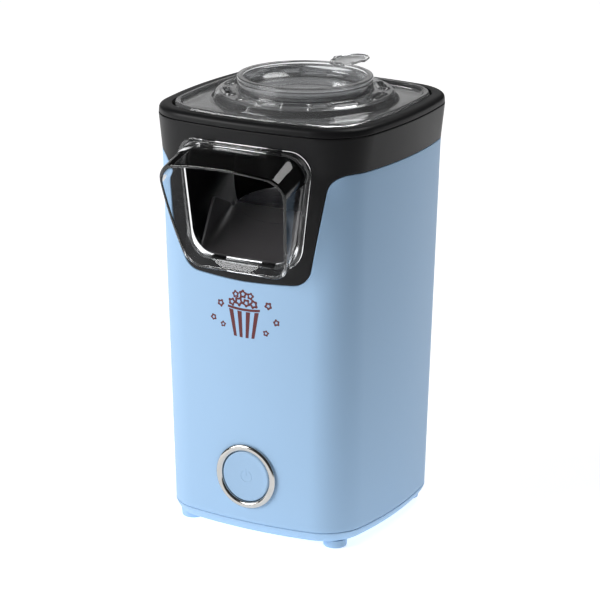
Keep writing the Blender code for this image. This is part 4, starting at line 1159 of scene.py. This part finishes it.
def printed(flat, lift):
    """A thin printed patch: a grid of (x, z) points on the front, closed at its edges."""
    grids = [front_point(flat[..., 0], flat[..., 1], off) for off in (lift, PRINT_SUNK)]
    rims = [np.concatenate([g[0], g[1:, -1], g[-1, -2::-1], g[-2:0:-1, 0]]) for g in grids]
    return [*(sheet(g, False, False) for g in grids), sheet(np.stack(rims))]


def make_print():
    """A generic printed pictogram: a striped tub of popcorn with a few loose kernels."""
    lift = sizes().print_height
    low_z, top_z, half_low, half_top, bands = 140.5 * MM, 158.0 * MM, 7.5 * MM, 11.0 * MM, 7

    def sagged(x, z):
        return printed(joined(x, z - 0.8 * MM * (1 - (x / half_top) ** 2)), lift)

    patches = []
    v = np.linspace(0, 1, 10)[:, None]
    for band in range(0, bands, 2):
        u = np.linspace(band / bands, (band + 1) / bands, 4) * 2 - 1
        patches += sagged(u * (half_low + (half_top - half_low) * v), low_z + (top_z - low_z) * v)
    brim = half_top + 0.8 * MM
    patches += sagged(np.linspace(-brim, brim, 24), top_z + np.array([0.5, 2.1])[:, None] * MM)
    kernels = [(-8.6, 162.7, 2.5), (-3.6, 163.6, 2.9), (1.9, 163.2, 2.6), (7.3, 163.0, 2.8),
               (-5.8, 168.2, 2.3), (-0.4, 168.9, 2.7), (5.0, 168.2, 2.3), (-17.2, 160.5, 2.3),
               (17.8, 163.5, 2.4), (-23.0, 150.0, 2.0), (23.4, 153.0, 2.1), (-15.6, 146.5, 1.8),
               (15.9, 145.0, 1.9)]
    t = circle(60)
    share = np.array([0.42, 0.7, 1.0])[:, None]
    for number, (x, z, r) in enumerate(kernels):
        lobes = 1 + 0.16 * np.cos(5 * t + number) + 0.05 * np.sin(3 * t - number)
        radius = r * lobes * share
        spot = [(x + radius * np.cos(t)) * MM, (z + radius * np.sin(t)) * MM]
        face, base = (front_point(*spot, off) for off in (lift, PRINT_SUNK))
        patches.append(sheet(np.concatenate([face, base[::-1]]), True))
    put("front_print", patches, [print_ink()], "housing")


# ------------------------------------------------------------ chamber, inlet and carried-over nodes

def make_chamber():
    """The aluminium popping chamber with its rolled rim, as a turned sheet."""
    foot = low("popping_chamber").z
    radius, wall, flange_z, flange = 43.7 * MM, 1.5 * MM, 200.3 * MM, 50.0 * MM
    flange_top = flange_z + 1.2 * MM
    corners = [(0.0, 121.6 * MM), (8.0 * MM, 121.0 * MM), (36.0 * MM, foot), (radius, foot + 6.0 * MM),
               (radius, flange_z), (flange, flange_z), (flange, flange_top), (radius, flange_top),
               (radius, CHAMBER_TOP), (radius - wall, CHAMBER_TOP), (radius - wall, foot + 6.8 * MM),
               (35.0 * MM, foot + wall), (8.0 * MM, 122.5 * MM), (0.0, 123.1 * MM)]
    radii = np.array([0, 3, 4, 3, 0.6, 0.4, 0.4, 0.6, 0.7, 0.7, 3, 4, 3, 0]) * MM
    put("popping_pot", [sheet(turned(rounded(corners, radii, 6), circle(180)), True)], [aluminium()],
        "housing", ("popping_chamber",))


def make_inlet():
    """The bush in the back wall that the mains lead would pass through."""
    rear = housing_sizes(INLET_Z)[0] - DEPTH_LESS
    corners = [(8.0, 0.5), (8.0, 2.0), (6.6, 3.4), (3.6, 3.4), (3.6, -7.0), (7.2, -7.0), (7.2, -3.0),
               (5.0, -3.0), (5.0, 0.5)]
    profile = rounded(np.array(corners) * MM, np.array([0.3, 0.8, 0.8, 0.9, 0.4, 0.3, 0.3, 0.3, 0.3]) * MM, 6)
    t = circle(72)
    r, out = profile[:, :1], profile[:, 1:2]
    rings = joined(r * np.cos(t), rear + out, INLET_Z + r * np.sin(t))
    put("inlet_bush", [sheet(rings, True)], [black_plastic()], "housing", ("cord_inlet",))


def finish_inner_works():
    """Gives every carried-over node inside the housing its own finish, by the start of its name."""
    finishes = {
        steel: ("base_screw", "bracket_screw", "chamber_screw", "motor", "chamber_sleeve", "switch_bracket",
                "heating_coil"),
        mica: ("mica_board", "thermostat"),
        silicone: ("chamber_gasket",),
        nylon: ("fan_impeller", "switch_plunger", "thermal_fuse"),
        grey_plastic: ("fan_housing",),
        black_plastic: ("switch_body",),
        circuit_green: ("rectifier_board",),
        lead_cover: ("lead_to",),
    }
    for name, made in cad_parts.items():
        for finish, starts in finishes.items():
            if name.startswith(starts):
                made.data.materials.clear()
                made.data.materials.append(finish())


# ------------------------------------------------------------ stage

CAMERA_TURN, CAMERA_RISE, CAMERA_ROLL = np.radians(29.437), np.radians(17.122), 0.00416
CAMERA_DISTANCE, CAMERA_LENS = 1.7923, 162.9
AIM_Z, AIM_RIGHT, AIM_UP = 151.6 * MM, -1.48 * MM, -6.5 * MM
# The floor's painted light: it glows near the object as a painted pool of light. It is painted darker far to
# the front right, fading along a level direction over a range of distances.
FADE_TURN = np.radians(58.0)
FLOOR_FADE, FLOOR_PAINTED_GLOW, FLOOR_PAINTED_SHADE, WORLD_LIGHT = (0.25, 0.72), (0.64, 0.04), 0.30, 0.045

LIGHT_AIM = np.array([0.0, 0.0, 0.15])


def hung(data, right, up, back, place):
    """An object of the stage at a place, looking along -back."""
    made = bpy.data.objects.new(data.name, data)
    matrix = np.eye(4)
    matrix[:3] = joined(right, up, back, place)
    made.matrix_world = Matrix(matrix)
    bpy.context.scene.collection.objects.link(made)
    return made


def make_camera():
    """The camera, its place given by a turn, a rise and a distance from the aim."""
    level = np.cos(CAMERA_RISE)
    back = np.array([np.sin(CAMERA_TURN) * level, -np.cos(CAMERA_TURN) * level, np.sin(CAMERA_RISE)])
    right = np.array([np.cos(CAMERA_TURN), np.sin(CAMERA_TURN), 0.0])
    up = np.cross(back, right)
    place = (0.0, HOUSING_Y, AIM_Z) + right * AIM_RIGHT + up * AIM_UP + back * CAMERA_DISTANCE
    c, s = np.cos(CAMERA_ROLL), np.sin(CAMERA_ROLL)
    camera = bpy.data.cameras.new("camera")
    camera.lens, camera.sensor_width = CAMERA_LENS, 36.0
    camera.clip_start, camera.clip_end = 0.05, 60.0
    bpy.context.scene.camera = hung(camera, c * right + s * up, c * up - s * right, back, place)


def soft_light(name, place, width, height, power):
    """A soft box that faces the object's middle."""
    light = bpy.data.lights.new(name, "AREA")
    light.shape, light.size, light.size_y, light.energy = "RECTANGLE", width, height, power
    back = np.array(place) - LIGHT_AIM
    back /= np.linalg.norm(back)
    right = np.cross((0.0, 0.0, 1.0), back)
    right /= np.linalg.norm(right)
    hung(light, right, np.cross(back, right), back, place)


def floor_painted_light():
    """Pale floor with painted light: a painted glow near the object, and painted shade that makes it darker and
    duller far to the front right.

    Both follow one smooth step of the distance along a level direction.
    """
    made = bpy.data.materials.new("floor_painted_light")
    made.use_nodes = True
    tree = made.node_tree
    place = node(tree, "TexCoord", {}).outputs["Object"]
    distance = node(tree, "VectorMath", {0: place, 1: (np.sin(FADE_TURN), -np.cos(FADE_TURN), 0.0)},
                    operation="DOT_PRODUCT").outputs["Value"]

    def mapped(value, **ends):
        return {"Value": value, **{name.replace("_", " "): end for name, end in ends.items()}}

    # A smooth step from near the object to far front right, which sets the floor's painted glow and painted
    # shade.
    painted_falloff = node(tree, "MapRange", mapped(distance, From_Min=FLOOR_FADE[0], From_Max=FLOOR_FADE[1]),
                 interpolation_type="SMOOTHSTEP").outputs["Result"]
    # Painted glow: the floor gives out light near the object, though it is no lamp.
    painted_glow = node(tree, "MapRange", mapped(painted_falloff, To_Min=FLOOR_PAINTED_GLOW[0], To_Max=FLOOR_PAINTED_GLOW[1])).outputs["Result"]
    # Painted shade: the floor's colour is made darker far to the front right.
    shade = node(tree, "MapRange", mapped(painted_falloff, To_Min=1.0, To_Max=FLOOR_PAINTED_SHADE)).outputs["Result"]
    painted_shade_colour = node(tree, "VectorMath", {0: tuple(colours().floor), "Scale": shade}, operation="SCALE").outputs[0]
    feed(tree, shader_of(made), {"Base Color": painted_shade_colour, "Emission Strength": painted_glow, "Roughness": 0.6,
                                 "Emission Color": (1.0, 1.0, 1.0, 1.0), "Specular IOR Level": 0.1})
    return made


def make_stage():
    """A pale floor with a painted glow and painted shade, soft boxes and the camera."""
    scene, reach = bpy.context.scene, 8.0
    mesh = bpy.data.meshes.new("floor")
    mesh.from_pydata([(-reach, -reach, 0), (reach, -reach, 0), (reach, reach, 0), (-reach, reach, 0)], [],
                     [(0, 1, 2, 3)])
    mesh.materials.append(floor_painted_light())
    floor = bpy.data.objects.new("floor", mesh)
    scene.collection.objects.link(floor)

    scene.world = bpy.data.worlds.new("studio")
    scene.world.use_nodes = True
    sky = scene.world.node_tree
    feed(sky, sky.nodes["Background"], {"Color": (1.0, 1.0, 1.0, 1.0), "Strength": WORLD_LIGHT})
    scene.view_settings.view_transform = "Standard"
    soft_light("key_box", (-2.3, -2.6, 1.7), 2.2, 1.8, 99.0)
    soft_light("top_box", (0.7, 1.0, 2.4), 1.8, 1.0, 26.0)
    soft_light("back_box", (-2.0, 2.7, 0.9), 2.4, 1.2, 4.5)
    make_camera()


# ------------------------------------------------------------ operators

class POPCORN_OT_blue_housing(bpy.types.Operator):
    """Build the tapered blue housing"""
    bl_idname = "popcorn.blue_housing"
    bl_label = "Blue housing"

    def execute(self, context):
        make_blue_housing()
        return {"FINISHED"}


class POPCORN_OT_black_housing(bpy.types.Operator):
    """Build the black collar with its bib"""
    bl_idname = "popcorn.black_housing"
    bl_label = "Collar and bib"

    def execute(self, context):
        make_black_housing()
        return {"FINISHED"}


class POPCORN_OT_base(bpy.types.Operator):
    """Build the base tray and the feet"""
    bl_idname = "popcorn.base"
    bl_label = "Base and feet"

    def execute(self, context):
        make_base()
        return {"FINISHED"}


class POPCORN_OT_rim(bpy.types.Operator):
    """Build the top rim and the deck"""
    bl_idname = "popcorn.rim"
    bl_label = "Rim and deck"

    def execute(self, context):
        make_rim()
        return {"FINISHED"}


class POPCORN_OT_chute(bpy.types.Operator):
    """Build the chute, its throat and the well"""
    bl_idname = "popcorn.chute"
    bl_label = "Chute"

    def execute(self, context):
        make_chute()
        return {"FINISHED"}


class POPCORN_OT_shield(bpy.types.Operator):
    """Build the clear hood and its catches"""
    bl_idname = "popcorn.shield"
    bl_label = "Clear hood"

    def execute(self, context):
        make_shield()
        return {"FINISHED"}


class POPCORN_OT_lid(bpy.types.Operator):
    """Build the clear lid with its vent slots"""
    bl_idname = "popcorn.lid"
    bl_label = "Lid"

    def execute(self, context):
        make_lid()
        return {"FINISHED"}


class POPCORN_OT_cup(bpy.types.Operator):
    """Build the measuring cup with its handle"""
    bl_idname = "popcorn.cup"
    bl_label = "Measuring cup"

    def execute(self, context):
        make_cup()
        return {"FINISHED"}


class POPCORN_OT_button(bpy.types.Operator):
    """Build the button, its symbol and the chrome ring"""
    bl_idname = "popcorn.button"
    bl_label = "Power button"

    def execute(self, context):
        make_button()
        return {"FINISHED"}


class POPCORN_OT_print(bpy.types.Operator):
    """Build the printed pictogram"""
    bl_idname = "popcorn.front_print"
    bl_label = "Front print"

    def execute(self, context):
        make_print()
        return {"FINISHED"}


class POPCORN_OT_chamber(bpy.types.Operator):
    """Build the popping chamber"""
    bl_idname = "popcorn.chamber"
    bl_label = "Popping chamber"

    def execute(self, context):
        make_chamber()
        return {"FINISHED"}


class POPCORN_OT_inlet(bpy.types.Operator):
    """Build the cord inlet's bush"""
    bl_idname = "popcorn.inlet"
    bl_label = "Cord inlet"

    def execute(self, context):
        make_inlet()
        return {"FINISHED"}


class POPCORN_OT_inner_works(bpy.types.Operator):
    """Give the carried-over inner parts their finishes"""
    bl_idname = "popcorn.inner_works"
    bl_label = "Inner works"

    def execute(self, context):
        finish_inner_works()
        return {"FINISHED"}


class POPCORN_OT_stage(bpy.types.Operator):
    """Build the floor, the lights and the camera"""
    bl_idname = "popcorn.stage"
    bl_label = "Stage"

    def execute(self, context):
        make_stage()
        return {"FINISHED"}


OPERATORS = (POPCORN_OT_stage, POPCORN_OT_blue_housing, POPCORN_OT_black_housing, POPCORN_OT_base,
             POPCORN_OT_rim, POPCORN_OT_chute, POPCORN_OT_shield, POPCORN_OT_lid, POPCORN_OT_cup,
             POPCORN_OT_button, POPCORN_OT_print, POPCORN_OT_chamber, POPCORN_OT_inlet,
             POPCORN_OT_inner_works)


class POPCORN_PT_panel(bpy.types.Panel):
    """Sizes, colours and the building steps"""
    bl_idname = "POPCORN_PT_panel"
    bl_label = "Popcorn maker"
    bl_space_type = "VIEW_3D"
    bl_region_type = "UI"
    bl_category = "Popcorn"

    def draw(self, context):
        for settings in (context.scene.popcorn_sizes, context.scene.popcorn_colours):
            for name in settings.__annotations__:
                self.layout.prop(settings, name)
        for operator in OPERATORS:
            self.layout.operator(operator.bl_idname)


CLASSES = (PopcornSizes, PopcornColours, *OPERATORS, POPCORN_PT_panel)


def register():
    for made in CLASSES:
        bpy.utils.register_class(made)
    bpy.types.Scene.popcorn_sizes = PointerProperty(type=PopcornSizes)
    bpy.types.Scene.popcorn_colours = PointerProperty(type=PopcornColours)


def unregister():
    del bpy.types.Scene.popcorn_colours
    del bpy.types.Scene.popcorn_sizes
    for made in reversed(CLASSES):
        bpy.utils.unregister_class(made)


def main():
    register()
    for operator in OPERATORS:
        group, name = operator.bl_idname.split(".")
        getattr(getattr(bpy.ops, group), name)()
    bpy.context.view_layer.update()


if __name__ == "__main__":
    main()
